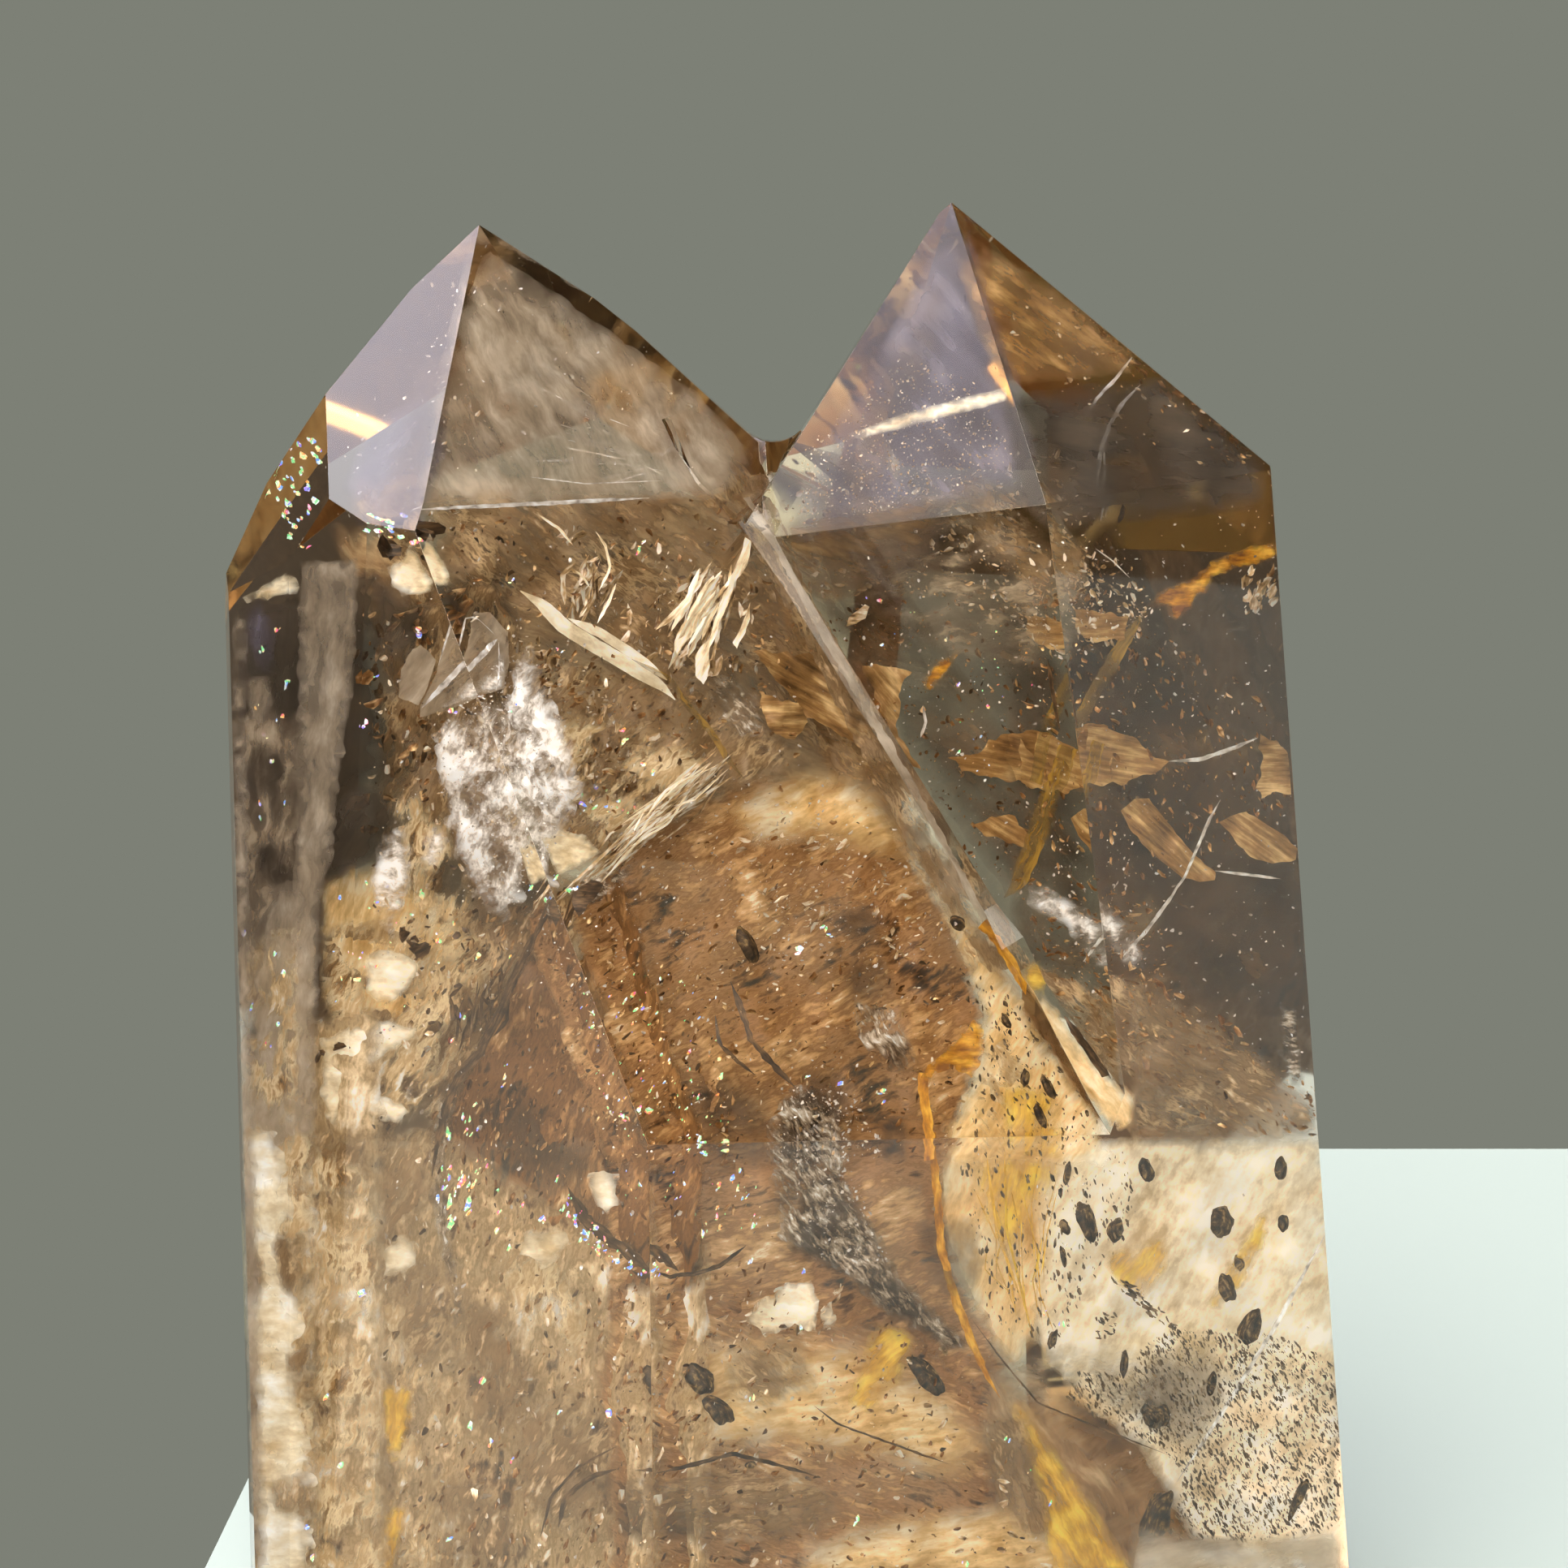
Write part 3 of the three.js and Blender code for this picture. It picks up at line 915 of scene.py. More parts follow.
@dataclass(frozen=True)
class Ribbon:
    """A long narrow film along a line of the reference view.

    Width and depths are in millimetres. Roll is how much deeper its right-hand side lies
    than its left for its width, and taper names the ends that run out to a point, each over
    the line's length by the taper rate, and no slimmer than the point's share. Steps are in
    pixels, and never fewer than the fewest.
    """

    facet: Facet
    line: Pixels
    width: float
    depths: tuple[float, float]
    roll: float = 0.3
    taper: tuple[bool, bool] = (True, True)
    ragged: float = 0.25
    step: float = 7.0
    fewest: int = 3
    taper_rate: int = 4
    point: float = 0.08

    def lay(self, growth: Growth) -> None:
        """Adds the ribbon to the growth.

        Args:
            growth: The growth that takes it.
        """
        window = Window(growth.view, self.facet)
        scale = growth.view.pixels_per_mm
        line = [Vector(p) for p in self.line]
        lengths = [(b - a).length for a, b in zip(line, line[1:])]
        whole = sum(lengths)
        count = max(self.fewest, round(whole / self.step))
        origin = [growth.chance.uniform(0, PATTERN_REACH) for _ in range(2)]
        corners, grain = [], []
        for number in range(count + 1):
            share = number / count
            at, way = self.along(line, lengths, share * whole)
            side = Vector((-way.y, way.x))
            swell = 1.0
            if self.taper[0]:
                swell = min(swell, share * self.taper_rate)
            if self.taper[1]:
                swell = min(swell, (1 - share) * self.taper_rate)
            half = self.width * scale / 2 * max(self.point, math.sin(swell * math.pi / 2))
            depth = self.depths[0] + (self.depths[1] - self.depths[0]) * share
            for hand in (-1, 1):
                reach = half * (1 + growth.chance.uniform(-1, 1) * self.ragged)
                spot = at + side * hand * reach
                lower = depth + hand * self.roll * reach / scale
                corners.append(window.inside(spot.x, spot.y, lower))
                grain.append((origin[0] + share * whole / scale, origin[1] + hand * reach / scale))
        faces = [(2 * i, 2 * i + 1, 2 * i + 3, 2 * i + 2) for i in range(count)]
        growth.add(corners, faces, grain)

    @staticmethod
    def along(line: list[Vector], lengths: list[float], reach: float) -> tuple[Vector, Vector]:
        """Finds the place at a distance along a line.

        Args:
            line: The line's points.
            lengths: The length of each of its parts.
            reach: The distance from its start.

        Returns:
            The point there, and the line's direction.
        """
        for start, end, length in zip(line, line[1:], lengths):
            if reach <= length or end is line[-1]:
                way = (end - start).normalized()
                return start + way * min(reach, length), way
            reach -= length
        return line[-1], Vector((1, 0))


@dataclass(frozen=True)
class Spray:
    """Slim blades side by side, from one line of the reference view to another.

    Width, depths and sink are in millimetres, stray and bend in pixels. A blade may be
    shorter than the way by the shorten share, and the width span gives how widths differ.
    """

    facet: Facet
    roots: Pixels
    tips: Pixels
    count: int
    width: float
    depths: tuple[float, float]
    stray: float = 10.0
    bend: float = 8.0
    shorten: float = 0.5
    width_span: tuple[float, float] = (0.4, 1.5)
    sink: float = 1.0
    roll: float = 0.6
    ragged: float = 0.35

    def lay(self, growth: Growth) -> None:
        """Adds the blades to the growth.

        Args:
            growth: The growth that takes them.
        """
        chance = growth.chance
        for _ in range(self.count):
            share = chance.random()
            ends = []
            for line in (self.roots, self.tips):
                points = [Vector(p) for p in line]
                lengths = [(b - a).length for a, b in zip(points, points[1:])]
                at, _ = Ribbon.along(points, lengths, share * sum(lengths))
                ends.append(at + Vector((chance.gauss(0, 1), chance.gauss(0, 1))) * self.stray)
            first = chance.uniform(0, self.shorten)
            last = first + chance.uniform(1 - self.shorten, 1) * (1 - first)
            root, tip = ends[0].lerp(ends[1], first), ends[0].lerp(ends[1], last)
            bow = Vector((chance.gauss(0, 1), chance.gauss(0, 1))) * self.bend
            line = (tuple(root), tuple(root.lerp(tip, 0.5) + bow), tuple(tip))
            depth = chance.uniform(*self.depths)
            blade = Ribbon(
                self.facet, line, self.width * chance.uniform(*self.width_span),
                (depth, depth + chance.uniform(-self.sink, self.sink)),
                roll=chance.gauss(0, self.roll), ragged=self.ragged,
            )
            blade.lay(growth)


@dataclass(frozen=True)
class Seed:
    """A small rounded grain at a pixel of the reference view.

    Depth, length and width are in millimetres, lean in degrees. Uneven is the share by which
    it swells and sinks, bumps is how close that follows, and flat its thickness over width.
    """

    facet: Facet
    spot: tuple[float, float]
    depth: float
    length: float
    width: float
    lean: float
    uneven: float = 0.3
    bumps: float = 3.0
    flat: float = 0.8
    rounding: int = 3

    def lay(self, growth: Growth) -> None:
        """Adds the grain to the growth.

        Args:
            growth: The growth that takes it.
        """
        window = Window(growth.view, self.facet)
        middle = window.inside(*self.spot, self.depth)
        right = (window.inside(self.spot[0] + 1, self.spot[1], self.depth) - middle).normalized()
        up = right.cross(-window.ahead).normalized() * -1
        turn = math.radians(self.lean)
        long = right * math.cos(turn) + up * math.sin(turn)
        wide = up * math.cos(turn) - right * math.sin(turn)
        ball = bmesh.new()
        bmesh.ops.create_icosphere(ball, subdivisions=self.rounding, radius=0.5)
        corners, grain = [], []
        for corner in ball.verts:
            swell = noise.noise(corner.co * self.bumps + Vector((*self.spot, 0)))
            c = corner.co * (1 + self.uneven * swell)
            place = long * c.x * self.length + wide * c.y * self.width
            place += window.ahead * c.z * self.width * self.flat
            corners.append(middle + place * MM)
            grain.append((c.x * self.length + self.spot[0], c.y * self.width + c.z))
        faces = [tuple(v.index for v in face.verts) for face in ball.faces]
        ball.free()
        growth.add(corners, faces, grain)


@dataclass
class Inclusion:
    """One kind of flaw inside the crystal, or a sheet of painted light or shade, as a piece of its own.
    """

    view: Viewpoint
    name: str = ""
    finish: GrownFinish = TAN_MIST
    smooth: bool = True
    seed: int = 1
    patches: tuple[Patch, ...] = ()

    def build(self) -> bpy.types.Object:
        """Lays every patch and makes the piece.

        Returns:
            The finished piece.
        """
        growth = Growth(self.name, self.finish, self.view, random.Random(self.seed), self.smooth)
        for patch in self.patches:
            patch.lay(growth)
        return growth.build()


# The dome as it shows through the leaning facet.
DOME_FRONT = ((700, 1110), (860, 990), (1060, 980), (1180, 1160), (1190, 1400), (810, 1410))


@dataclass
class BrushedDome(Inclusion):
    """The great curved fracture in the middle, brown and finely combed, and its low folds."""

    name: str = "brushed_dome"
    finish: GrownFinish = BRUSHED_SMOKE
    seed: int = 2
    patches: tuple[Patch, ...] = (
        Sheet(Facet.LEANING, ((700, 1118), (745, 1060), (800, 1018), (860, 982), (930, 958),
            (1000, 955), (1060, 975), (1100, 1010), (1150, 1090), (1195, 1170), (1215, 1250),
            (1200, 1330), (1168, 1416), (798, 1416), (785, 1380), (741, 1241), (722, 1191)), depth=7.0,
            slope=(0.6, 0.0), relief=0.8, grain=28, soft=4, cell=12),
        Sheet(Facet.LOWER_BROAD, ((800, 1402), (1176, 1402), (1160, 1480), (1180, 1560), (1250, 1680),
            (1200, 1720), (1110, 1640), (960, 1640), (880, 1630), (800, 1620)), depth=6.2, relief=0.8,
            grain=14, soft=5, cell=13),
        Sheet(Facet.LOWER_BROAD, ((800, 1580), (900, 1590), (1040, 1580), (1130, 1610), (1240, 1690),
            (1240, 1975), (800, 1975)), depth=6.5, relief=1.2, grain=-15, soft=8, cell=20),
    )


@dataclass
class DomeFlank(Inclusion):
    """The dome's left flank, seen through the broad facet beside it, in the darker copy of the dome's
    finish that is painted shade.
    """

    name: str = "dome_flank"
    finish: GrownFinish = BRUSHED_FLANK_PAINTED_SHADE
    seed: int = 31
    patches: tuple[Patch, ...] = (
        Sheet(Facet.LEFT_BROAD, ((708, 1106), (676, 1094), (650, 1170), (603, 1258), (566, 1325),
            (540, 1400), (532, 1460), (552, 1535), (600, 1560), (700, 1560), (800, 1600), (814, 1500),
            (806, 1420), (791, 1385), (747, 1241), (728, 1191)), depth=6.5, slope=(-0.8, 0.0),
            relief=0.8, grain=72, soft=5, cell=12),
    )


@dataclass
class HoneyFilms(Inclusion):
    """Yellow films by the iron-stained crack and the groove, and pale glowing sheets low down, painted
    light that brightens the quartz there.
    """

    name: str = "honey_films"
    finish: GrownFinish = HONEY_FILM
    seed: int = 29
    patches: tuple[Patch, ...] = (
        Sheet(Facet.LEANING, ((1130, 1060), (1196, 1130), (1262, 1240), (1320, 1330), (1384, 1416),
            (1160, 1416), (1196, 1330), (1212, 1250), (1185, 1180)), depth=5.0, relief=0.8, grain=60,
            soft=6, cell=13),
        Sheet(Facet.LOWER_BROAD, ((1158, 1410), (1392, 1410), (1400, 1470), (1330, 1540), (1290, 1640),
            (1240, 1700), (1190, 1600), (1150, 1500)), depth=7.0, relief=0.8, grain=75, soft=12,
            cell=14),
        Sheet(Facet.LEFT_BROAD, ((398, 1090), (470, 1060), (560, 1110), (590, 1180), (550, 1270),
            (480, 1260), (400, 1240)), depth=7.0, relief=0.8, grain=70, soft=14, cell=13),
        # Painted light: two soft glowing sheets that brighten the quartz low down.
        Sheet(Facet.LOWER_BROAD, ((840, 1660), (920, 1640), (1060, 1650), (1150, 1690), (1230, 1780),
            (1180, 1830), (1060, 1800), (960, 1790), (860, 1790)), depth=5.2, relief=0.6, grain=10,
            soft=46, cell=14, ragged=14),
        Sheet(Facet.LOWER_BROAD, ((990, 1900), (1110, 1860), (1260, 1850), (1330, 1900), (1340, 1960),
            (980, 1960)), depth=5.2, relief=0.6, grain=10, soft=36, cell=14, ragged=14),
        Sheet(Facet.LEANING, ((880, 1000), (930, 962), (1000, 940), (1070, 958), (1112, 1010),
            (1130, 1060), (1070, 1060), (1000, 1040), (930, 1050)), depth=6.4, relief=1.0, grain=24,
            soft=40, cell=12, ragged=10),
        Sheet(Facet.GROOVE_FOOT, ((1268, 1215), (1290, 1228), (1322, 1270), (1360, 1318), (1390, 1346),
            (1390, 1384), (1372, 1392), (1338, 1356), (1302, 1302), (1276, 1252)), depth=2.0,
            relief=0.4, grain=-48, soft=9, cell=8, ragged=5),
        Sheet(Facet.GROOVE_FOOT, ((1222, 1150), (1262, 1200), (1300, 1262), (1392, 1392), (1392, 1408),
            (1290, 1300), (1232, 1210)), depth=4.0, relief=0.3, grain=-52, soft=5, cell=10, ragged=3),
    )


@dataclass
class LilacPaintedReflections(Inclusion):
    """Painted reflection of the window: lilac sheets under the points' facets that face it, and in the
    left strip.
    """

    name: str = "painted_lilac_reflections"
    finish: GrownFinish = LILAC_PAINTED_REFLECTION
    seed: int = 30
    patches: tuple[Patch, ...] = (
        Sheet(Facet.RIGHT_LILAC, ((1168, 268), (1206, 380), (1240, 480), (1256, 560), (1262, 604),
            (1150, 624), (985, 654), (970, 610), (1040, 500), (1110, 380)), depth=2.4, relief=0.3,
            grain=-50, soft=3, cell=20, ragged=1),
        Sheet(Facet.LEFT_LILAC, ((548, 470), (540, 560), (512, 652), (446, 642), (420, 600),
            (450, 520)), depth=1.0, relief=0.3, grain=50, soft=20, cell=16, ragged=2),
        Sheet(Facet.LEFT_SIDE, ((316, 738), (333, 762), (342, 794), (337, 825), (316, 830), (308, 797),
            (302, 762)), depth=1.4, relief=0.2, grain=80, soft=8, cell=8, ragged=5),
    )


@dataclass
class MilkyClouds(Inclusion):
    """The whitish cloud on the left and other milky places."""

    name: str = "milky_clouds"
    finish: GrownFinish = MILKY_VEIL
    seed: int = 3
    patches: tuple[Patch, ...] = (
        Sheet(Facet.LEFT_BROAD, ((606, 808), (632, 806), (648, 838), (679, 872), (700, 910), (700, 960),
            (678, 1000), (650, 1050), (640, 1110), (618, 1132), (592, 1116), (568, 1060), (550, 1000),
            (535, 953), (530, 906), (545, 884), (590, 878), (604, 850)), depth=2.2, bulge=1.2,
            relief=1.2, grain=70, soft=14, cell=8, ragged=14),
        Sheet(Facet.LEFT_BROAD, ((470, 1030), (500, 1015), (512, 1060), (500, 1110), (484, 1160),
            (462, 1130), (455, 1080)), depth=2.0, relief=0.6, soft=14, cell=9),
        Sheet(Facet.LEFT_BROAD, ((620, 776), (612, 806), (598, 856), (560, 868), (540, 872),
            (576, 838)), depth=2.0, relief=0.2, soft=4, cell=8, ragged=2),
        Sheet(Facet.LEFT_BROAD, ((520, 1020), (545, 1015), (552, 1040), (535, 1072), (518, 1060)),
            depth=2.0, relief=0.6, soft=12, cell=8),
        Sheet(Facet.RIGHT_INNER, ((1262, 1085), (1300, 1098), (1340, 1120), (1380, 1160), (1395, 1205),
            (1350, 1190), (1310, 1140), (1270, 1120)), depth=3.0, relief=0.8, soft=16, cell=9),
    )


@dataclass
class TanMists(Inclusion):
    """Wide tan veils that warm the middle of the body and the folds low on the right."""

    name: str = "tan_mists"
    finish: GrownFinish = TAN_MIST
    seed: int = 4
    patches: tuple[Patch, ...] = (
        Sheet(Facet.LEANING, ((505, 600), (890, 596), (950, 660), (1010, 800), (1060, 900), (1050, 990),
            (900, 1000), (820, 1010), (690, 1110), (620, 960), (560, 780)), depth=11.0, relief=1.0,
            grain=-28, soft=14, cell=22),
        Sheet(Facet.LEANING, ((1040, 930), (1110, 975), (1180, 1090), (1260, 1210), (1330, 1310),
            (1385, 1410), (1190, 1410), (1215, 1300), (1200, 1200), (1130, 1080), (1060, 1000)),
            depth=9.0, relief=0.8, grain=-55, soft=8, cell=18),
        Sheet(Facet.LEFT_BROAD, ((455, 1080), (560, 1110), (640, 1190), (560, 1350), (455, 1400)),
            depth=10.0, relief=1.0, grain=70, soft=20, cell=20),
        Sheet(Facet.GROOVE, ((1000, 720), (1080, 850), (1150, 960), (1180, 1010), (1120, 1010),
            (1010, 900)), depth=6.0, relief=0.6, grain=-60, soft=10, cell=16),
        Sheet(Facet.RIGHT_BROAD, ((1392, 1190), (1440, 1230), (1500, 1265), (1560, 1310), (1625, 1365),
            (1625, 1410), (1392, 1410)), depth=7.0, relief=1.0, grain=-32, soft=16, cell=16),
        Sheet(Facet.LOWER_BROAD, ((1100, 1560), (1180, 1620), (1320, 1730), (1440, 1800), (1460, 1975),
            (1180, 1975), (1120, 1700)), depth=10.0, relief=0.8, grain=20, soft=20, cell=24),
        Sheet(Facet.LOWER_BROAD, ((1200, 1660), (1300, 1740), (1420, 1840), (1460, 1975), (1220, 1975)),
            depth=6.0, relief=1.0, grain=-62, soft=20, cell=18),
    )


@dataclass
class PaleHazes(Inclusion):
    """Breath-thin veils in the left-hand point, its bands and low on the right, and a pale ribbon under
    the groove that is a painted highlight.
    """

    name: str = "pale_hazes"
    finish: GrownFinish = PALE_HAZE
    seed: int = 24
    patches: tuple[Patch, ...] = (
        Sheet(Facet.LEFT_CROWN, ((598, 300), (700, 372), (860, 486), (930, 560), (905, 600), (870, 612),
            (700, 618), (505, 632), (545, 480), (580, 350)), depth=1.6, relief=0.5, grain=-60, soft=6,
            cell=20),
        Sheet(Facet.LEFT_BROAD, ((516, 884), (518, 869), (535, 837), (541, 819), (554, 766), (576, 759),
            (618, 766), (604, 819), (594, 856), (569, 869)), depth=2.6, relief=0.2, grain=50, soft=0,
            cell=9, ragged=2),
        Sheet(Facet.LEFT_BROAD, ((490, 859), (494, 825), (507, 800), (519, 795), (537, 812), (529, 844),
            (516, 869)), depth=2.2, relief=0.2, grain=60, soft=0, cell=8, ragged=3),
        Sheet(Facet.LEFT_BAND, ((370, 690), (442, 690), (436, 838), (418, 957), (410, 1049),
            (396, 1110), (388, 1400), (360, 1400), (362, 1100), (366, 900)), depth=1.2, relief=0.3,
            grain=84, soft=5, cell=10),
        Sheet(Facet.LEFT_SIDE, ((288, 760), (304, 760), (306, 1000), (316, 1400), (330, 1930),
            (306, 1930), (292, 1400), (284, 1000)), depth=0.8, relief=0.2, grain=84, soft=5, cell=10),
        # The pale ribbon under the groove is a painted highlight, added to the strip that the groove
        # mirrors of the front light.
        Ribbon(Facet.GROOVE, ((925, 606), (968, 690), (1022, 790), (1076, 886), (1130, 984),
            (1176, 1066), (1210, 1136)), 0.5, (0.6, 0.6), roll=0.0, taper=(False, False), ragged=0.3),
        Sheet(Facet.LEFT_SIDE, ((316, 1112), (340, 1092), (376, 1080), (378, 1440), (300, 1440),
            (306, 1200), (322, 1150)), depth=2.0, relief=0.3, grain=84, soft=9, cell=12),
        Sheet(Facet.LEFT_SIDE, ((304, 836), (330, 830), (338, 862), (326, 894), (308, 896)), depth=1.6,
            relief=0.2, grain=84, soft=7, cell=8, ragged=4),
        Sheet(Facet.LOWER_BROAD, ((1392, 1878), (1500, 1890), (1580, 1888), (1654, 1876), (1654, 1975),
            (1380, 1975)), depth=1.5, relief=0.4, grain=10, soft=12, cell=14),
        Sheet(Facet.LOWER_BROAD, ((1420, 1660), (1500, 1650), (1520, 1720), (1480, 1800), (1430, 1780),
            (1400, 1720)), depth=4.6, relief=0.4, grain=-60, soft=26, cell=14, ragged=9),
    )


@dataclass
class SmokeLayers(Inclusion):
    """Darker sheets in both points, and dark places before and below the dome: smoke layers, and
    painted shade where the dark surround shows through.
    """

    name: str = "smoke_layers_and_painted_shade"
    finish: GrownFinish = SMOKE_AND_PAINTED_SHADE
    seed: int = 25
    patches: tuple[Patch, ...] = (
        Sheet(Facet.RIGHT_INNER, ((950, 650), (1050, 620), (1250, 600), (1306, 640), (1306, 1110),
            (1240, 1100), (1120, 940), (1010, 760)), depth=9.0, relief=1.0, grain=-30, soft=8, cell=22),
        Sheet(Facet.RIGHT_INNER, ((958, 650), (1040, 640), (1180, 622), (1150, 700), (1080, 730),
            (1010, 748), (970, 700)), depth=2.0, relief=0.3, grain=-20, soft=8, cell=14, ragged=3),
        Sheet(Facet.RIGHT_LILAC, ((975, 645), (1040, 510), (1110, 390), (1166, 272), (1186, 330),
            (1160, 450), (1100, 560), (1060, 640)), depth=1.4, relief=0.3, grain=-50, soft=36, cell=16,
            ragged=8),
        Sheet(Facet.LEFT_LILAC, ((552, 380), (548, 480), (542, 580), (514, 654), (462, 644), (474, 560),
            (508, 460)), depth=0.7, relief=0.2, grain=50, soft=30, cell=13, ragged=5),
        Sheet(Facet.RIGHT_BROAD, ((1312, 636), (1380, 640), (1420, 760), (1410, 900), (1430, 1060),
            (1440, 1180), (1400, 1230), (1312, 1180)), depth=9.0, relief=1.0, grain=-40, soft=16,
            cell=20),
        Sheet(Facet.RIGHT_BROAD, ((1370, 780), (1470, 790), (1500, 980), (1603, 1085), (1612, 1190),
            (1509, 1256), (1430, 1210), (1380, 1000)), depth=11.0, relief=1.0, grain=-40, soft=20,
            cell=22),
        Sheet(Facet.LEFT_BROAD, ((455, 690), (520, 700), (560, 800), (520, 930), (500, 1060),
            (455, 1090)), depth=8.0, relief=1.0, grain=80, soft=12, cell=18),
        Sheet(Facet.LEANING, ((1020, 1118), (1070, 1110), (1096, 1132), (1080, 1158), (1040, 1160)),
            depth=6.0, relief=0.6, grain=-20, soft=9, cell=10, ragged=9),
        Sheet(Facet.LEANING, ((1036, 1180), (1096, 1176), (1100, 1216), (1080, 1240), (1044, 1226)),
            depth=6.0, relief=0.6, grain=-40, soft=10, cell=10, ragged=9),
        Sheet(Facet.LEANING, ((985, 1320), (1040, 1316), (1052, 1350), (1046, 1390), (1000, 1400),
            (980, 1360)), depth=5.0, relief=0.6, grain=-70, soft=12, cell=10, ragged=9),
        Sheet(Facet.LEANING, ((1070, 1376), (1116, 1372), (1124, 1408), (1082, 1412)), depth=5.0,
            relief=0.6, grain=-50, soft=8, cell=10, ragged=8),
        Sheet(Facet.LEANING, ((860, 1300), (900, 1320), (950, 1350), (960, 1410), (870, 1410),
            (850, 1360)), depth=6.0, relief=0.8, grain=-60, soft=22, cell=12, ragged=9),
        Sheet(Facet.LEFT_BROAD, ((590, 1360), (640, 1330), (700, 1380), (740, 1440), (700, 1470),
            (620, 1440)), depth=6.0, relief=0.8, grain=70, soft=26, cell=14, ragged=9),
        Sheet(Facet.LOWER_BROAD, ((1120, 1500), (1205, 1495), (1215, 1560), (1200, 1600), (1140, 1585)),
            depth=4.0, relief=0.6, grain=-40, soft=14, cell=11, ragged=9),
        Sheet(Facet.LOWER_BROAD, ((806, 1830), (850, 1822), (885, 1850), (872, 1900), (820, 1905),
            (806, 1890)), depth=5.0, relief=0.6, grain=-20, soft=16, cell=11, ragged=9),
    )


@dataclass
class DeepSmoke(Inclusion):
    """The nearly black-brown sheets in the right-hand point, the left strip and the trail: painted
    shade where the dark surround shows through, and smoke.
    """

    name: str = "deep_smoke"
    finish: GrownFinish = DEEP_SMOKE_AND_PAINTED_SHADE
    seed: int = 26
    patches: tuple[Patch, ...] = (
        Sheet(Facet.RIGHT_CROWN, ((1246, 484), (1330, 474), (1432, 464), (1500, 510), (1562, 566),
            (1562, 612), (1440, 628), (1312, 636), (1268, 604)), depth=2.0, relief=0.3, grain=-10,
            soft=4, cell=18, ragged=2),
        Sheet(Facet.LEFT_SIDE, ((292, 744), (378, 738), (378, 1100), (334, 1120), (312, 1200),
            (294, 1200), (290, 980)), depth=3.4, relief=0.3, grain=84, soft=7, cell=12, ragged=5),
        Sheet(Facet.LEFT_BAND, ((362, 700), (462, 700), (464, 1010), (462, 1050), (431, 1069),
            (402, 1094), (362, 1120)), depth=4.4, relief=0.3, grain=84, soft=5, cell=14, ragged=3),
        Sheet(Facet.LEFT_BAND, ((362, 1110), (400, 1092), (400, 1200), (380, 1300), (362, 1310)),
            depth=5.0, relief=0.3, grain=84, soft=8, cell=14, ragged=5),
        Sheet(Facet.LEFT_BROAD, ((458, 700), (500, 736), (536, 740), (530, 790), (490, 830),
            (458, 800)), depth=4.0, relief=0.6, grain=60, soft=14, cell=14),
        Sheet(Facet.LOWER_BROAD, ((1000, 1440), (1031, 1448), (1078, 1508), (1096, 1557), (1142, 1604),
            (1208, 1668), (1165, 1668), (1130, 1642), (1086, 1616), (1038, 1570), (990, 1550),
            (962, 1526), (980, 1490)), depth=4.9, relief=0.3, grain=-47, soft=12, cell=10, ragged=8),
        Sheet(Facet.LEANING, ((962, 1344), (1000, 1340), (1028, 1366), (1040, 1412), (952, 1412)),
            depth=5.0, relief=0.3, grain=-60, soft=14, cell=10, ragged=9),
        Sheet(Facet.LEFT_BROAD, ((455, 960), (480, 985), (500, 1008), (480, 1030), (455, 1055)),
            depth=3.0, relief=0.6, grain=60, soft=8, cell=12),
        Sheet(Facet.LEFT_BAND, ((396, 1092), (398, 1044), (408, 1012), (414, 986), (456, 955),
            (458, 1060), (430, 1075)), depth=2.2, relief=0.3, grain=60, soft=6, cell=9, ragged=4),
    )


@dataclass
class GoldenHaze(Inclusion):
    """Yellow smoke high in the right-hand point, and the smooth brown plane under the notch."""

    name: str = "golden_haze"
    finish: GrownFinish = GOLDEN_HAZE
    seed: int = 27
    patches: tuple[Patch, ...] = (
        Sheet(Facet.RIGHT_CROWN, ((1184, 280), (1290, 350), (1400, 428), (1432, 456), (1330, 468),
            (1248, 476), (1214, 390)), depth=2.0, relief=0.4, grain=-35, soft=6, cell=16, ragged=3),
        Sheet(Facet.RIGHT_INNER, ((958, 656), (1030, 642), (1110, 630), (1170, 628), (1140, 680),
            (1080, 720), (1020, 748), (985, 720), (966, 687)), depth=3.0, relief=0.4, grain=-20,
            soft=10, cell=14, ragged=4),
    )


@dataclass
class GreyMists(Inclusion):
    """Ash-grey veils in the right-hand body and the left strip."""

    name: str = "grey_mists"
    finish: GrownFinish = GREY_MIST
    seed: int = 5
    patches: tuple[Patch, ...] = (
        Sheet(Facet.RIGHT_BROAD, ((1392, 1320), (1450, 1340), (1530, 1380), (1600, 1400), (1590, 1412),
            (1500, 1425), (1400, 1412)), depth=4.0, relief=0.6, soft=14, cell=11),
        Sheet(Facet.LOWER_BROAD, ((1210, 1660), (1290, 1650), (1400, 1655), (1500, 1700), (1480, 1780),
            (1400, 1760), (1300, 1750), (1230, 1710)), depth=5.0, relief=0.8, soft=30, cell=14),
        Sheet(Facet.RIGHT_INNER, ((1000, 620), (1120, 600), (1250, 625), (1300, 700), (1300, 820),
            (1240, 840), (1150, 800), (1050, 740)), depth=4.0, relief=1.0, soft=34, cell=14),
        Sheet(Facet.LEFT_SIDE, ((292, 880), (368, 870), (368, 1110), (330, 1130), (306, 1230),
            (294, 1220)), depth=1.0, relief=0.3, grain=84, soft=12, cell=10),
    )


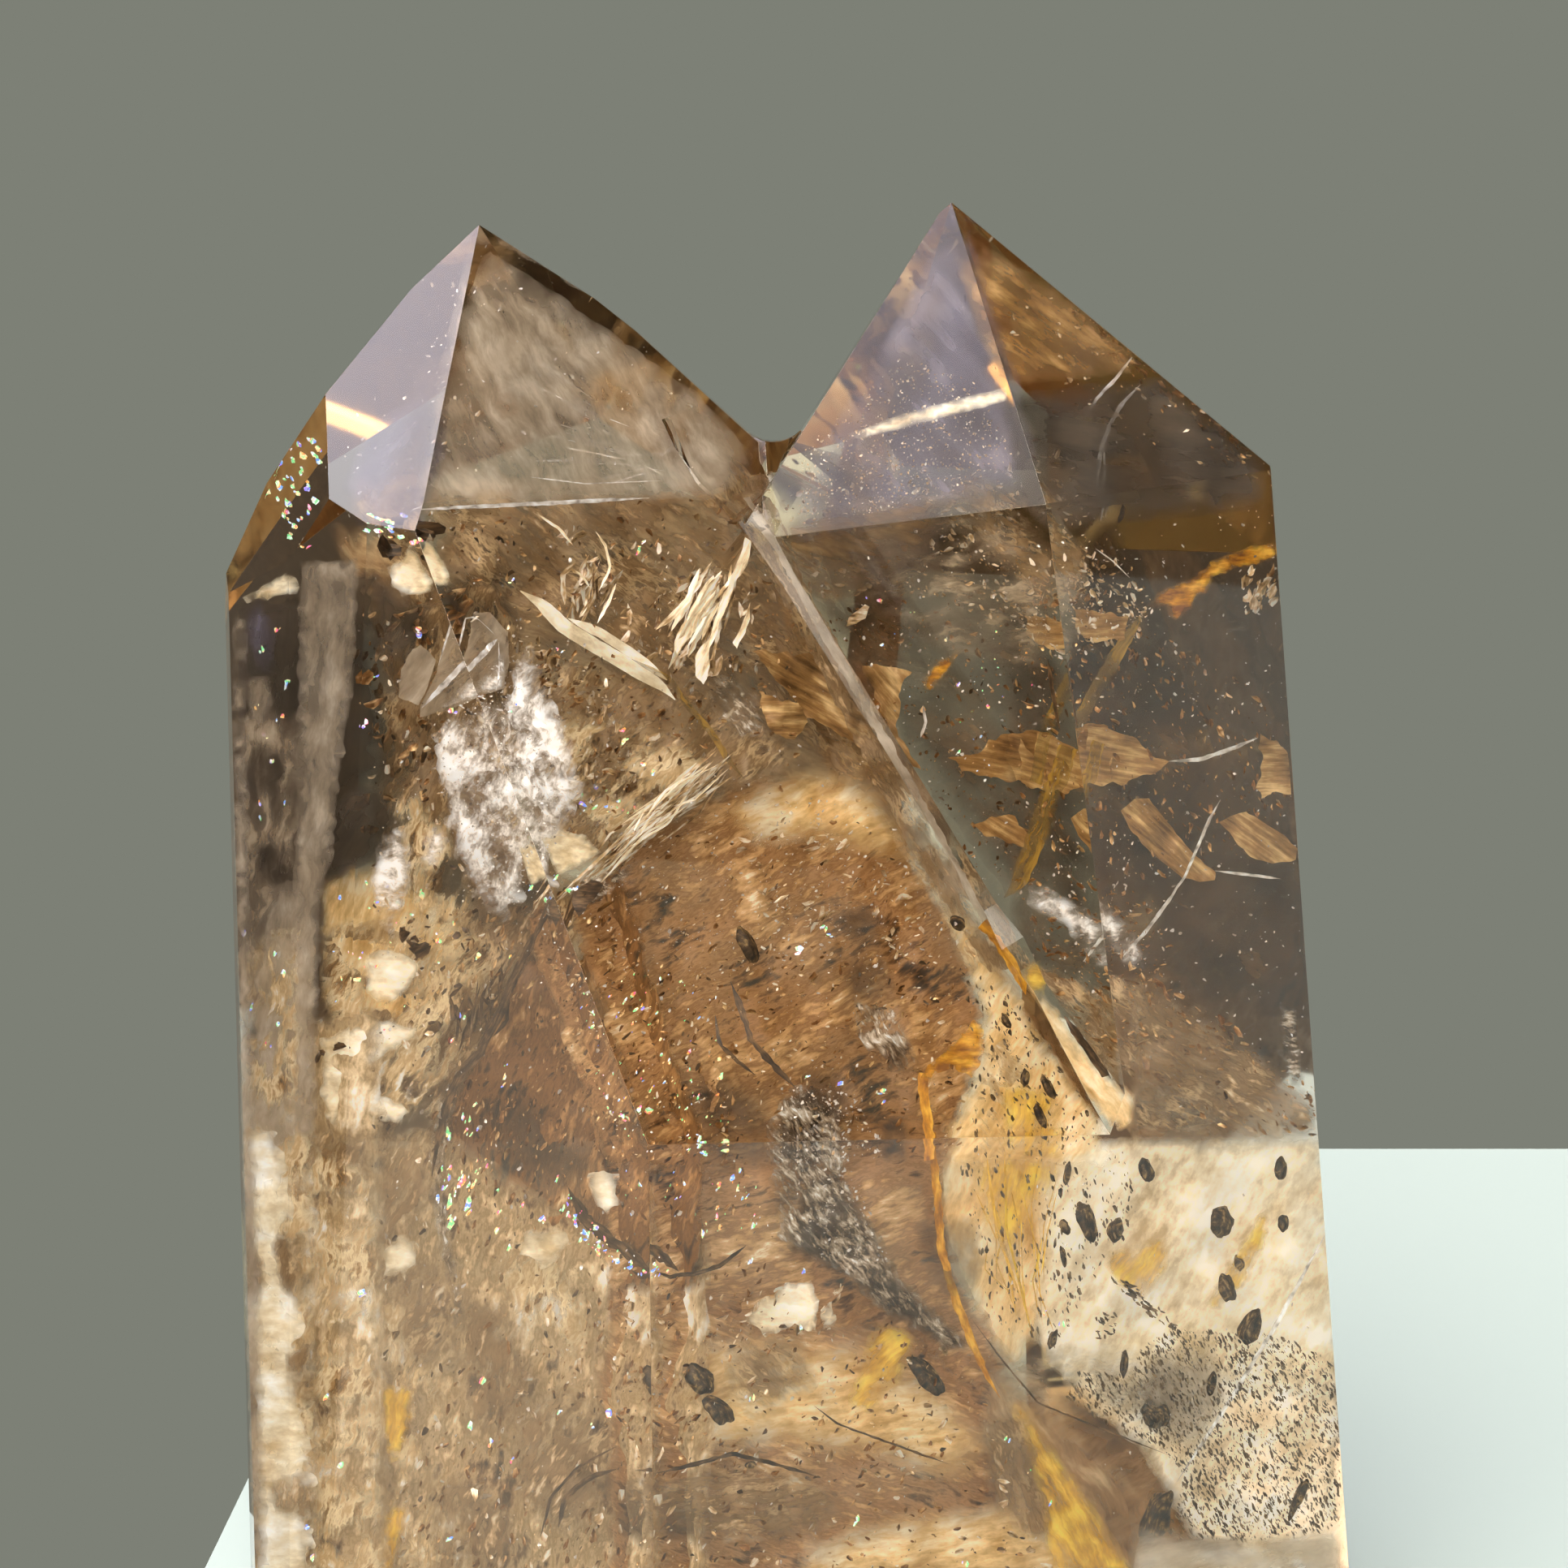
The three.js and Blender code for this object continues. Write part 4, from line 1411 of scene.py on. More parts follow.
@dataclass
class CrushedZones(Inclusion):
    """Black and silver crushed zones, and the dark trail that runs down from them."""

    name: str = "crushed_zones"
    finish: GrownFinish = CRUSHED_SILVER
    seed: int = 6
    patches: tuple[Patch, ...] = (
        Sheet(Facet.LEANING, ((1050, 1228), (1090, 1238), (1118, 1270), (1132, 1305), (1122, 1326),
            (1082, 1312), (1056, 1282)), depth=4.0, relief=0.9, grain=-55, soft=6, cell=7, ragged=9),
        Sheet(Facet.LEANING, ((955, 1352), (990, 1340), (1030, 1362), (1040, 1390), (1048, 1416),
            (948, 1416)), depth=4.4, relief=0.6, grain=-60, soft=12, cell=8, ragged=12),
        Sheet(Facet.LOWER_BROAD, ((948, 1408), (1030, 1410), (1042, 1450), (1075, 1505), (1095, 1557),
            (1140, 1604), (1202, 1662), (1170, 1664), (1134, 1642), (1088, 1616), (1040, 1570),
            (990, 1545), (962, 1520), (950, 1470)), depth=4.2, relief=0.6, grain=-50, soft=10, cell=8,
            ragged=10),
        Sheet(Facet.LEFT_BROAD, ((540, 1360), (566, 1316), (560, 1360), (548, 1440), (556, 1530),
            (570, 1600), (578, 1660), (566, 1640), (546, 1560), (530, 1480), (530, 1420)), depth=5.0,
            relief=0.3, grain=84, soft=4, cell=7, ragged=4),
        Sheet(Facet.LEANING, ((702, 1100), (720, 1080), (756, 1068), (792, 1058), (770, 1086),
            (735, 1112), (706, 1130)), depth=3.0, relief=0.3, soft=3, cell=7, ragged=4),
        Sheet(Facet.LEANING, ((872, 838), (900, 830), (936, 860), (940, 900), (912, 912), (880, 880)),
            depth=4.0, relief=0.6, grain=-40, soft=14, cell=8, ragged=9),
        Sheet(Facet.RIGHT_BROAD, ((1580, 1235), (1598, 1245), (1608, 1330), (1594, 1348), (1576, 1300)),
            depth=1.5, relief=0.5, soft=8, cell=7),
    )


@dataclass
class CreamFilms(Inclusion):
    """Smooth air films, large and pale, whose cream is a painted reflection of the bright floor."""

    name: str = "cream_films_painted_reflection"
    finish: GrownFinish = CREAM_FILM_PAINTED_REFLECTION
    seed: int = 7
    patches: tuple[Patch, ...] = (
        Sheet(Facet.LEFT_BROAD, ((447, 1175), (497, 1172), (519, 1187), (514, 1204), (491, 1231),
            (460, 1237), (450, 1206)), depth=3.6, soft=7, cell=8, ragged=6),
        Sheet(Facet.LEFT_BROAD, ((395, 1285), (435, 1266), (479, 1256), (512, 1267), (516, 1277),
            (479, 1297), (454, 1319), (460, 1350), (497, 1359), (506, 1368), (494, 1384), (460, 1376),
            (432, 1369), (411, 1396), (398, 1360)), depth=3.8, soft=7, cell=8, ragged=7),
        Sheet(Facet.LEFT_BAND, ((345, 1350), (369, 1306), (388, 1330), (392, 1370), (372, 1384),
            (350, 1372)), depth=4.0, soft=7, cell=8, ragged=5),
        Sheet(Facet.LEFT_BAND, ((319, 1454), (363, 1448), (369, 1488), (338, 1532), (309, 1526),
            (304, 1494)), depth=2.0, soft=12, cell=7, ragged=11),
        Sheet(Facet.LEFT_BAND, ((369, 1485), (391, 1488), (404, 1541), (379, 1554), (357, 1526)),
            depth=3.0, soft=10, cell=7, ragged=11),
        Sheet(Facet.LEFT_SIDE, ((306, 1548), (338, 1585), (366, 1626), (360, 1668), (319, 1650),
            (304, 1619)), depth=1.6, soft=10, cell=7, ragged=13),
        Sheet(Facet.LEFT_SIDE, ((316, 1666), (347, 1691), (357, 1729), (374, 1760), (368, 1785),
            (378, 1801), (351, 1816), (320, 1776)), depth=1.6, soft=10, cell=7, ragged=13),
        Sheet(Facet.LEFT_SIDE, ((302, 1396), (332, 1390), (350, 1440), (346, 1530), (366, 1600),
            (362, 1700), (374, 1800), (372, 1900), (380, 1965), (316, 1965), (308, 1700), (302, 1540)),
            depth=1.6, soft=10, cell=7, ragged=13),
        Sheet(Facet.LEFT_BROAD, ((469, 1535), (504, 1522), (520, 1553), (500, 1572), (469, 1568)),
            depth=2.4, soft=12, cell=7, ragged=13),
        Sheet(Facet.LEFT_BROAD, ((640, 1520), (690, 1510), (700, 1540), (670, 1560), (636, 1552)),
            depth=2.4, soft=12, cell=7, ragged=13),
        Sheet(Facet.LEFT_BROAD, ((719, 1455), (760, 1450), (766, 1490), (740, 1500)), depth=2.4,
            soft=12, cell=7, ragged=13),
        Sheet(Facet.LOWER_BROAD, ((1400, 1896), (1500, 1904), (1654, 1886), (1654, 1975), (1390, 1975)),
            depth=3.4, soft=10, cell=14),
        Sheet(Facet.LEFT_SIDE, ((296, 736), (322, 724), (352, 704), (366, 724), (362, 731), (330, 738),
            (300, 741)), depth=2.0, soft=5, cell=6),
        Sheet(Facet.LEFT_BROAD, ((478, 700), (494, 690), (508, 668), (524, 700), (536, 728), (520, 733),
            (496, 734), (480, 718)), depth=2.0, soft=5, cell=7),
        Sheet(Facet.LEANING, ((664, 1030), (690, 1020), (722, 1030), (742, 1050), (720, 1064),
            (686, 1080)), depth=3.0, soft=3, cell=7, ragged=3),
        Sheet(Facet.LOWER_BROAD, ((918, 1628), (930, 1606), (958, 1594), (966, 1582), (1000, 1578),
            (1008, 1600), (1006, 1640), (980, 1634), (944, 1646)), depth=3.0, soft=3, cell=7, ragged=5),
        Sheet(Facet.LOWER_BROAD, ((1012, 1612), (1026, 1604), (1030, 1634), (1014, 1638)), depth=3.0,
            soft=3, cell=7, ragged=4),
        Sheet(Facet.RIGHT_LILAC, ((1044, 535), (1106, 512), (1180, 491), (1240, 477), (1242, 494),
            (1180, 510), (1112, 528), (1060, 541)), depth=0.5, relief=0.0, soft=2, cell=6, ragged=1),
        Sheet(Facet.LOWER_BROAD, ((1268, 1406), (1400, 1400), (1500, 1400), (1644, 1400), (1656, 1560),
            (1664, 1930), (1560, 1930), (1470, 1900), (1400, 1780), (1320, 1720), (1270, 1640),
            (1276, 1540)), depth=6.0, relief=0.6, grain=60, soft=10, cell=16),
    )


@dataclass
class GoldenLeaves(Inclusion):
    """Smooth leaf-shaped cracks in the right-hand crystal, and the golden pocket."""

    name: str = "golden_leaves"
    finish: GrownFinish = GOLDEN_LEAF
    seed: int = 8
    patches: tuple[Patch, ...] = (
        Sheet(Facet.RIGHT_INNER, ((1169, 934), (1206, 929), (1219, 912), (1244, 903), (1275, 900),
            (1296, 905), (1302, 962), (1244, 962), (1212, 956), (1187, 950)), depth=7.0, soft=2, cell=8,
            grain=-10, ragged=6),
        Sheet(Facet.RIGHT_BROAD, ((1318, 906), (1337, 925), (1342, 894), (1362, 897), (1384, 903),
            (1400, 912), (1419, 928), (1438, 941), (1431, 950), (1412, 953), (1381, 966), (1350, 966),
            (1318, 962)), depth=7.0, soft=2, cell=8, grain=-10, ragged=5),
        Sheet(Facet.RIGHT_INNER, ((1200, 1019), (1222, 1006), (1250, 1006), (1255, 1017), (1269, 1031),
            (1270, 1047), (1253, 1041), (1228, 1033), (1212, 1028)), depth=5.0, soft=2, cell=7,
            grain=-30, ragged=4),
        Sheet(Facet.RIGHT_BROAD, ((1381, 1000), (1397, 984), (1416, 984), (1431, 1003), (1450, 1028),
            (1475, 1056), (1497, 1075), (1497, 1084), (1478, 1087), (1456, 1081), (1431, 1062),
            (1409, 1041), (1391, 1019)), depth=6.0, soft=1, cell=7, grain=-42, ragged=2),
        Sheet(Facet.RIGHT_BROAD, ((1503, 1012), (1534, 1000), (1556, 1012), (1581, 1028), (1600, 1047),
            (1597, 1060), (1569, 1064), (1541, 1056), (1522, 1037)), depth=4.0, soft=4, cell=7,
            grain=-35, ragged=3),
        Sheet(Facet.RIGHT_BROAD, ((1552, 905), (1575, 915), (1591, 930), (1595, 960), (1592, 980),
            (1570, 975), (1556, 985), (1547, 972), (1558, 950)), depth=2.0, soft=2, cell=7, ragged=6),
        Sheet(Facet.LEANING, ((928, 800), (981, 806), (1008, 806), (1025, 819), (1050, 850),
            (1078, 905), (1096, 940), (1075, 928), (1031, 903), (987, 877), (972, 853), (950, 831)),
            depth=5.0, soft=4, cell=8, grain=-30, relief=1.0, ragged=5),
        Sheet(Facet.RIGHT_INNER, ((1062, 820), (1090, 820), (1122, 827), (1109, 844), (1109, 875),
            (1103, 894), (1115, 919), (1137, 950), (1118, 940), (1098, 900), (1078, 860)), depth=4.0,
            soft=3, cell=7, grain=-50, relief=1.0, ragged=5),
        Sheet(Facet.LEANING, ((935, 850), (960, 862), (985, 865), (994, 890), (980, 912), (955, 905),
            (940, 880)), depth=4.0, soft=5, cell=7, relief=1.2, ragged=6),
        Sheet(Facet.RIGHT_INNER, ((1262, 758), (1300, 762), (1345, 772), (1340, 800), (1290, 800),
            (1268, 785)), depth=6.0, soft=8, cell=8, ragged=6),
    )


@dataclass
class IronRust(Inclusion):
    """Thick orange rust in open cracks."""

    name: str = "iron_rust"
    finish: GrownFinish = IRON_RUST
    seed: int = 9
    patches: tuple[Patch, ...] = (
        Sheet(Facet.RIGHT_BROAD, ((1407, 752), (1431, 728), (1450, 719), (1475, 709), (1494, 691),
            (1509, 684), (1534, 675), (1556, 670), (1572, 668), (1573, 687), (1553, 694), (1531, 700),
            (1519, 700), (1503, 709), (1494, 712), (1487, 731), (1475, 734), (1469, 747), (1450, 766),
            (1441, 759), (1437, 747), (1422, 750), (1412, 762)), depth=5.0, slope=(-1.5, 0), relief=0.4,
            soft=3, cell=6, ragged=3),
        Sheet(Facet.LEANING, ((1136, 1326), (1150, 1306), (1176, 1284), (1200, 1258), (1210, 1262),
            (1214, 1296), (1196, 1328), (1176, 1314), (1152, 1322), (1142, 1340)), depth=3.0,
            relief=0.4, soft=2, cell=6, ragged=5),
        Ribbon(Facet.LEANING, ((1138, 1322), (1137, 1345), (1144, 1390), (1148, 1414)), 0.5, (3.0, 3.5),
            taper=(False, False)),
        Ribbon(Facet.LOWER_BROAD, ((1148, 1412), (1155, 1470), (1160, 1540), (1175, 1595), (1196, 1650),
            (1216, 1696), (1232, 1722)), 0.42, (3.5, 4.5), taper=(False, True)),
        Ribbon(Facet.GROOVE_FOOT, ((1204, 1140), (1222, 1158), (1240, 1184), (1252, 1206),
            (1258, 1228)), 0.75, (0.8, 0.8), taper=(False, True)),
        Sheet(Facet.RIGHT_INNER, ((1136, 850), (1138, 836), (1150, 820), (1165, 812), (1180, 798),
            (1188, 800), (1178, 812), (1165, 832), (1150, 848)), depth=4.0, soft=3, cell=6, ragged=3),
    )


@dataclass
class IronStains(Inclusion):
    """Thin yellow stains and fans in healed cracks."""

    name: str = "iron_stains"
    finish: GrownFinish = IRON_STAIN
    seed: int = 10
    patches: tuple[Patch, ...] = (
        Sheet(Facet.LOWER_BROAD, ((1360, 1542), (1440, 1522), (1445, 1535), (1434, 1571), (1414, 1600),
            (1405, 1606), (1376, 1584), (1360, 1558)), depth=4.0, soft=8, cell=8, grain=60),
        Sheet(Facet.LOWER_BROAD, ((1550, 1500), (1566, 1487), (1560, 1529), (1537, 1584), (1524, 1593),
            (1498, 1619), (1485, 1606), (1505, 1571), (1531, 1529)), depth=4.0, soft=7, cell=8,
            grain=60),
        Sheet(Facet.LOWER_BROAD, ((1190, 1412), (1330, 1412), (1300, 1470), (1270, 1530), (1240, 1560),
            (1200, 1500)), depth=5.0, soft=24, cell=12, grain=80),
        Sheet(Facet.LOWER_BROAD, ((1232, 1700), (1262, 1720), (1310, 1800), (1360, 1870), (1400, 1940),
            (1290, 1940), (1280, 1850), (1262, 1780)), depth=2.5, soft=12, cell=12, grain=-62),
        Sheet(Facet.LEFT_BROAD, ((466, 1694), (480, 1706), (510, 1712), (504, 1760), (494, 1792),
            (482, 1802), (470, 1760)), depth=3.0, soft=5, cell=8, grain=80),
        Sheet(Facet.LEFT_BROAD, ((484, 1850), (506, 1860), (492, 1900), (480, 1950), (466, 1950),
            (468, 1890)), depth=3.0, soft=6, cell=8, grain=80),
        Sheet(Facet.LEANING, ((1225, 1330), (1300, 1340), (1318, 1412), (1240, 1412)), depth=4.0,
            soft=18, cell=10, grain=75),
        Sheet(Facet.GROOVE_FOOT, ((1255, 1190), (1290, 1180), (1296, 1205), (1284, 1225), (1264, 1222)),
            depth=1.5, soft=8, cell=7),
        Sheet(Facet.LOWER_BROAD, ((1040, 1740), (1072, 1640), (1092, 1626), (1130, 1650), (1112, 1700),
            (1080, 1740)), depth=4.0, soft=14, cell=10, grain=40),
        Spray(Facet.LOWER_BROAD, ((1180, 1420), (1320, 1420)), ((1250, 1640), (1290, 1640)), 14, 0.1,
            (3.0, 6.0)),
    )


@dataclass
class MustardTrail(Inclusion):
    """The mustard-coloured trail from the rust to the groove, and the line before the dome."""

    name: str = "mustard_trail"
    finish: GrownFinish = MUSTARD_STAIN
    seed: int = 33
    patches: tuple[Patch, ...] = (
        Ribbon(Facet.RIGHT_BROAD, ((1412, 752), (1387, 787), (1369, 819), (1350, 850), (1334, 881),
            (1320, 909), (1311, 947), (1306, 965)), 0.7, (4.0, 4.0), taper=(True, False), ragged=0.15),
        Ribbon(Facet.RIGHT_INNER, ((1316, 920), (1306, 955), (1294, 978), (1284, 1012), (1269, 1053),
            (1253, 1091), (1237, 1106)), 1.0, (4.0, 3.0), taper=(False, True), ragged=0.15),
        Ribbon(Facet.LEANING, ((778, 812), (825, 837), (847, 869), (875, 900), (894, 931), (916, 959)),
            0.35, (2.5, 3.5), ragged=0.15),
    )


@dataclass
class BrownCrumple(Inclusion):
    """Crumpled cracks that fill the body with warm brown, one behind another."""

    name: str = "brown_crumple"
    finish: GrownFinish = CRUMPLED_BROWN
    seed: int = 21
    patches: tuple[Patch, ...] = (
        Sheet(Facet.LEANING, ((515, 610), (900, 610), (930, 700), (1000, 800), (900, 850), (760, 830),
            (640, 760), (545, 730)), depth=7.0, relief=1.5, grain=-35, soft=14, cell=16),
        Sheet(Facet.LEANING, ((640, 800), (760, 820), (900, 850), (1000, 940), (900, 980), (780, 1020),
            (700, 1080), (650, 980)), depth=5.0, relief=1.5, grain=50, soft=14, cell=14),
        Sheet(Facet.LEANING, ((920, 680), (960, 680), (1090, 880), (1130, 1000), (1020, 960),
            (930, 860)), depth=6.0, relief=1.2, grain=-50, soft=10, cell=13),
        Sheet(Facet.LEFT_BROAD, ((458, 740), (545, 740), (600, 860), (560, 1000), (560, 1120),
            (458, 1100)), depth=6.0, relief=1.5, grain=70, soft=10, cell=15),
        Sheet(Facet.LEFT_BROAD, ((395, 1150), (560, 1110), (660, 1110), (665, 1150), (610, 1270),
            (566, 1345), (535, 1450), (395, 1440)), depth=7.0, relief=1.0, grain=60, soft=9, cell=14),
        Sheet(Facet.RIGHT_INNER, ((1130, 612), (1206, 600), (1260, 630), (1305, 680), (1306, 780),
            (1270, 740), (1230, 690), (1170, 650)), depth=4.0, relief=1.0, grain=-35, soft=14, cell=13),
        Sheet(Facet.LEANING, ((1080, 960), (1120, 980), (1200, 1110), (1180, 1130), (1130, 1070)),
            depth=4.5, relief=1.0, grain=-55, soft=8, cell=13),
        Sheet(Facet.RIGHT_BROAD, ((1392, 1200), (1500, 1260), (1622, 1350), (1622, 1400), (1500, 1405),
            (1392, 1390)), depth=4.0, relief=1.0, grain=-30, soft=10, cell=14),
        Sheet(Facet.GROOVE, ((880, 560), (970, 630), (1020, 735), (1074, 830), (1126, 925),
            (1176, 1020), (1226, 1100), (1270, 1190), (1200, 1210), (1110, 1070), (1044, 940),
            (984, 820), (930, 710), (876, 640)), depth=3.0, relief=0.5, grain=-60, soft=0, cell=14),
        Sheet(Facet.GROOVE_FOOT, ((1254, 1160), (1300, 1172), (1386, 1200), (1388, 1340), (1340, 1290),
            (1290, 1220)), depth=4.0, relief=0.8, grain=-35, soft=8, cell=13),
    )


@dataclass
class CreamCrumple(Inclusion):
    """Crumpled cracks with air in them, cream between the brown ones and down the left."""

    name: str = "cream_crumple"
    finish: GrownFinish = CRUMPLED_CREAM
    seed: int = 22
    patches: tuple[Patch, ...] = (
        Sheet(Facet.LEANING, ((640, 870), (760, 880), (900, 930), (860, 990), (730, 1060), (660, 1000)),
            depth=4.0, relief=1.5, grain=48, soft=26, cell=15),
        Sheet(Facet.LEFT_BROAD, ((398, 1140), (560, 1110), (620, 1180), (560, 1330), (520, 1420),
            (395, 1400)), depth=5.5, relief=1.5, grain=60, soft=24, cell=15),
        Sheet(Facet.LEFT_BROAD, ((480, 960), (540, 980), (590, 1110), (560, 1150), (455, 1120),
            (480, 1040)), depth=4.0, relief=1.5, grain=75, soft=16, cell=14),
        Sheet(Facet.LEANING, ((1060, 975), (1130, 1010), (1215, 1170), (1250, 1290), (1310, 1400),
            (1200, 1400), (1210, 1250), (1140, 1100)), depth=5.0, relief=1.2, grain=-50, soft=12,
            cell=13),
        Sheet(Facet.LEFT_SIDE, ((298, 1200), (320, 1150), (378, 1140), (384, 1960), (306, 1960),
            (298, 1500)), depth=1.9, relief=0.2, grain=84, soft=6, cell=12),
        Sheet(Facet.LEFT_BAND, ((374, 1400), (462, 1450), (466, 1960), (382, 1960)), depth=2.4,
            relief=0.3, grain=80, soft=14, cell=12),
        Sheet(Facet.LEFT_BROAD, ((452, 1560), (520, 1600), (560, 1700), (540, 1820), (600, 1960),
            (452, 1960)), depth=3.6, relief=0.8, grain=80, soft=40, cell=14, ragged=12),
        Sheet(Facet.LEFT_BROAD, ((600, 1520), (700, 1540), (740, 1640), (690, 1700), (620, 1640)),
            depth=3.6, relief=0.8, grain=80, soft=30, cell=12, ragged=14),
    )


@dataclass
class DeepFolds(Inclusion):
    """Blurred folds behind the left-hand facets."""

    name: str = "deep_folds"
    finish: GrownFinish = BLURRED_FOLDS
    seed: int = 23
    patches: tuple[Patch, ...] = (
        Sheet(Facet.LEFT_BROAD, ((446, 1380), (560, 1400), (680, 1480), (814, 1540), (814, 1975),
            (446, 1975)), depth=6.0, relief=1.2, grain=80, soft=6, cell=20),
        Sheet(Facet.LEFT_BAND, ((362, 1260), (462, 1240), (466, 1975), (378, 1975), (368, 1600)),
            depth=3.5, relief=0.6, grain=84, soft=6, cell=16),
        Sheet(Facet.LEFT_SIDE, ((294, 1180), (376, 1120), (378, 1500), (384, 1975), (306, 1975),
            (294, 1500)), depth=2.8, relief=0.4, grain=84, soft=5, cell=14),
    )


@dataclass
class FoldBlots(Inclusion):
    """Creased brown lobes between the blurred folds, and blots down the left column."""

    name: str = "fold_blots"
    finish: GrownFinish = CRUMPLED_BROWN
    seed: int = 32
    patches: tuple[Patch, ...] = (
        Sheet(Facet.LEFT_BROAD, ((458, 1400), (520, 1410), (540, 1470), (500, 1530), (458, 1540)),
            depth=3.5, relief=0.8, grain=60, soft=20, cell=12, ragged=9),
        Sheet(Facet.LEFT_BAND, ((376, 1385), (448, 1378), (450, 1470), (400, 1480)), depth=2.5,
            relief=0.5, grain=60, soft=16, cell=12, ragged=8),
        Sheet(Facet.LEFT_SIDE, ((330, 1530), (354, 1516), (372, 1560), (366, 1612), (344, 1590)),
            depth=1.0, relief=0.2, grain=84, soft=9, cell=7, ragged=10),
        Sheet(Facet.LEFT_SIDE, ((300, 1536), (316, 1530), (330, 1580), (316, 1620), (302, 1600)),
            depth=1.0, relief=0.2, grain=84, soft=8, cell=7, ragged=8),
        Sheet(Facet.LEFT_SIDE, ((346, 1670), (378, 1650), (380, 1740), (358, 1722)), depth=1.0,
            relief=0.2, grain=84, soft=9, cell=7, ragged=10),
        Sheet(Facet.LEFT_SIDE, ((326, 1826), (372, 1806), (384, 1850), (376, 1880), (336, 1866)),
            depth=1.0, relief=0.2, grain=84, soft=9, cell=7, ragged=10),
        Sheet(Facet.LEFT_BROAD, ((560, 1590), (640, 1600), (660, 1700), (620, 1800), (570, 1760),
            (545, 1660)), depth=3.5, relief=0.8, grain=75, soft=26, cell=13, ragged=9),
        Sheet(Facet.LEFT_BROAD, ((630, 1720), (700, 1700), (770, 1740), (760, 1850), (700, 1900),
            (620, 1860)), depth=3.0, relief=0.6, grain=60, soft=26, cell=11, ragged=12),
        Sheet(Facet.LEFT_BROAD, ((470, 1560), (540, 1540), (580, 1600), (560, 1680), (490, 1690)),
            depth=3.0, relief=0.6, grain=60, soft=26, cell=11, ragged=12),
        Sheet(Facet.LEFT_BROAD, ((520, 1820), (590, 1810), (640, 1870), (630, 1975), (530, 1975)),
            depth=3.5, relief=0.8, grain=80, soft=24, cell=13, ragged=9),
        Sheet(Facet.LOWER_BROAD, ((806, 1812), (856, 1804), (903, 1791), (1006, 1816), (1060, 1860),
            (1010, 1900), (860, 1900), (806, 1880)), depth=4.0, relief=0.8, grain=10, soft=22, cell=13,
            ragged=9),
        Sheet(Facet.LOWER_BROAD, ((900, 1650), (990, 1640), (1010, 1700), (950, 1760), (880, 1720)),
            depth=4.5, relief=0.8, grain=-40, soft=22, cell=13, ragged=9),
        Sheet(Facet.LOWER_BROAD, ((1200, 1740), (1260, 1730), (1300, 1800), (1330, 1900), (1260, 1900),
            (1215, 1820)), depth=4.0, relief=0.8, grain=-62, soft=18, cell=12, ragged=9),
        Sheet(Facet.LOWER_BROAD, ((1376, 1674), (1440, 1668), (1473, 1700), (1460, 1790), (1400, 1760)),
            depth=5.0, relief=0.8, grain=-40, soft=40, cell=12, ragged=9),
    )


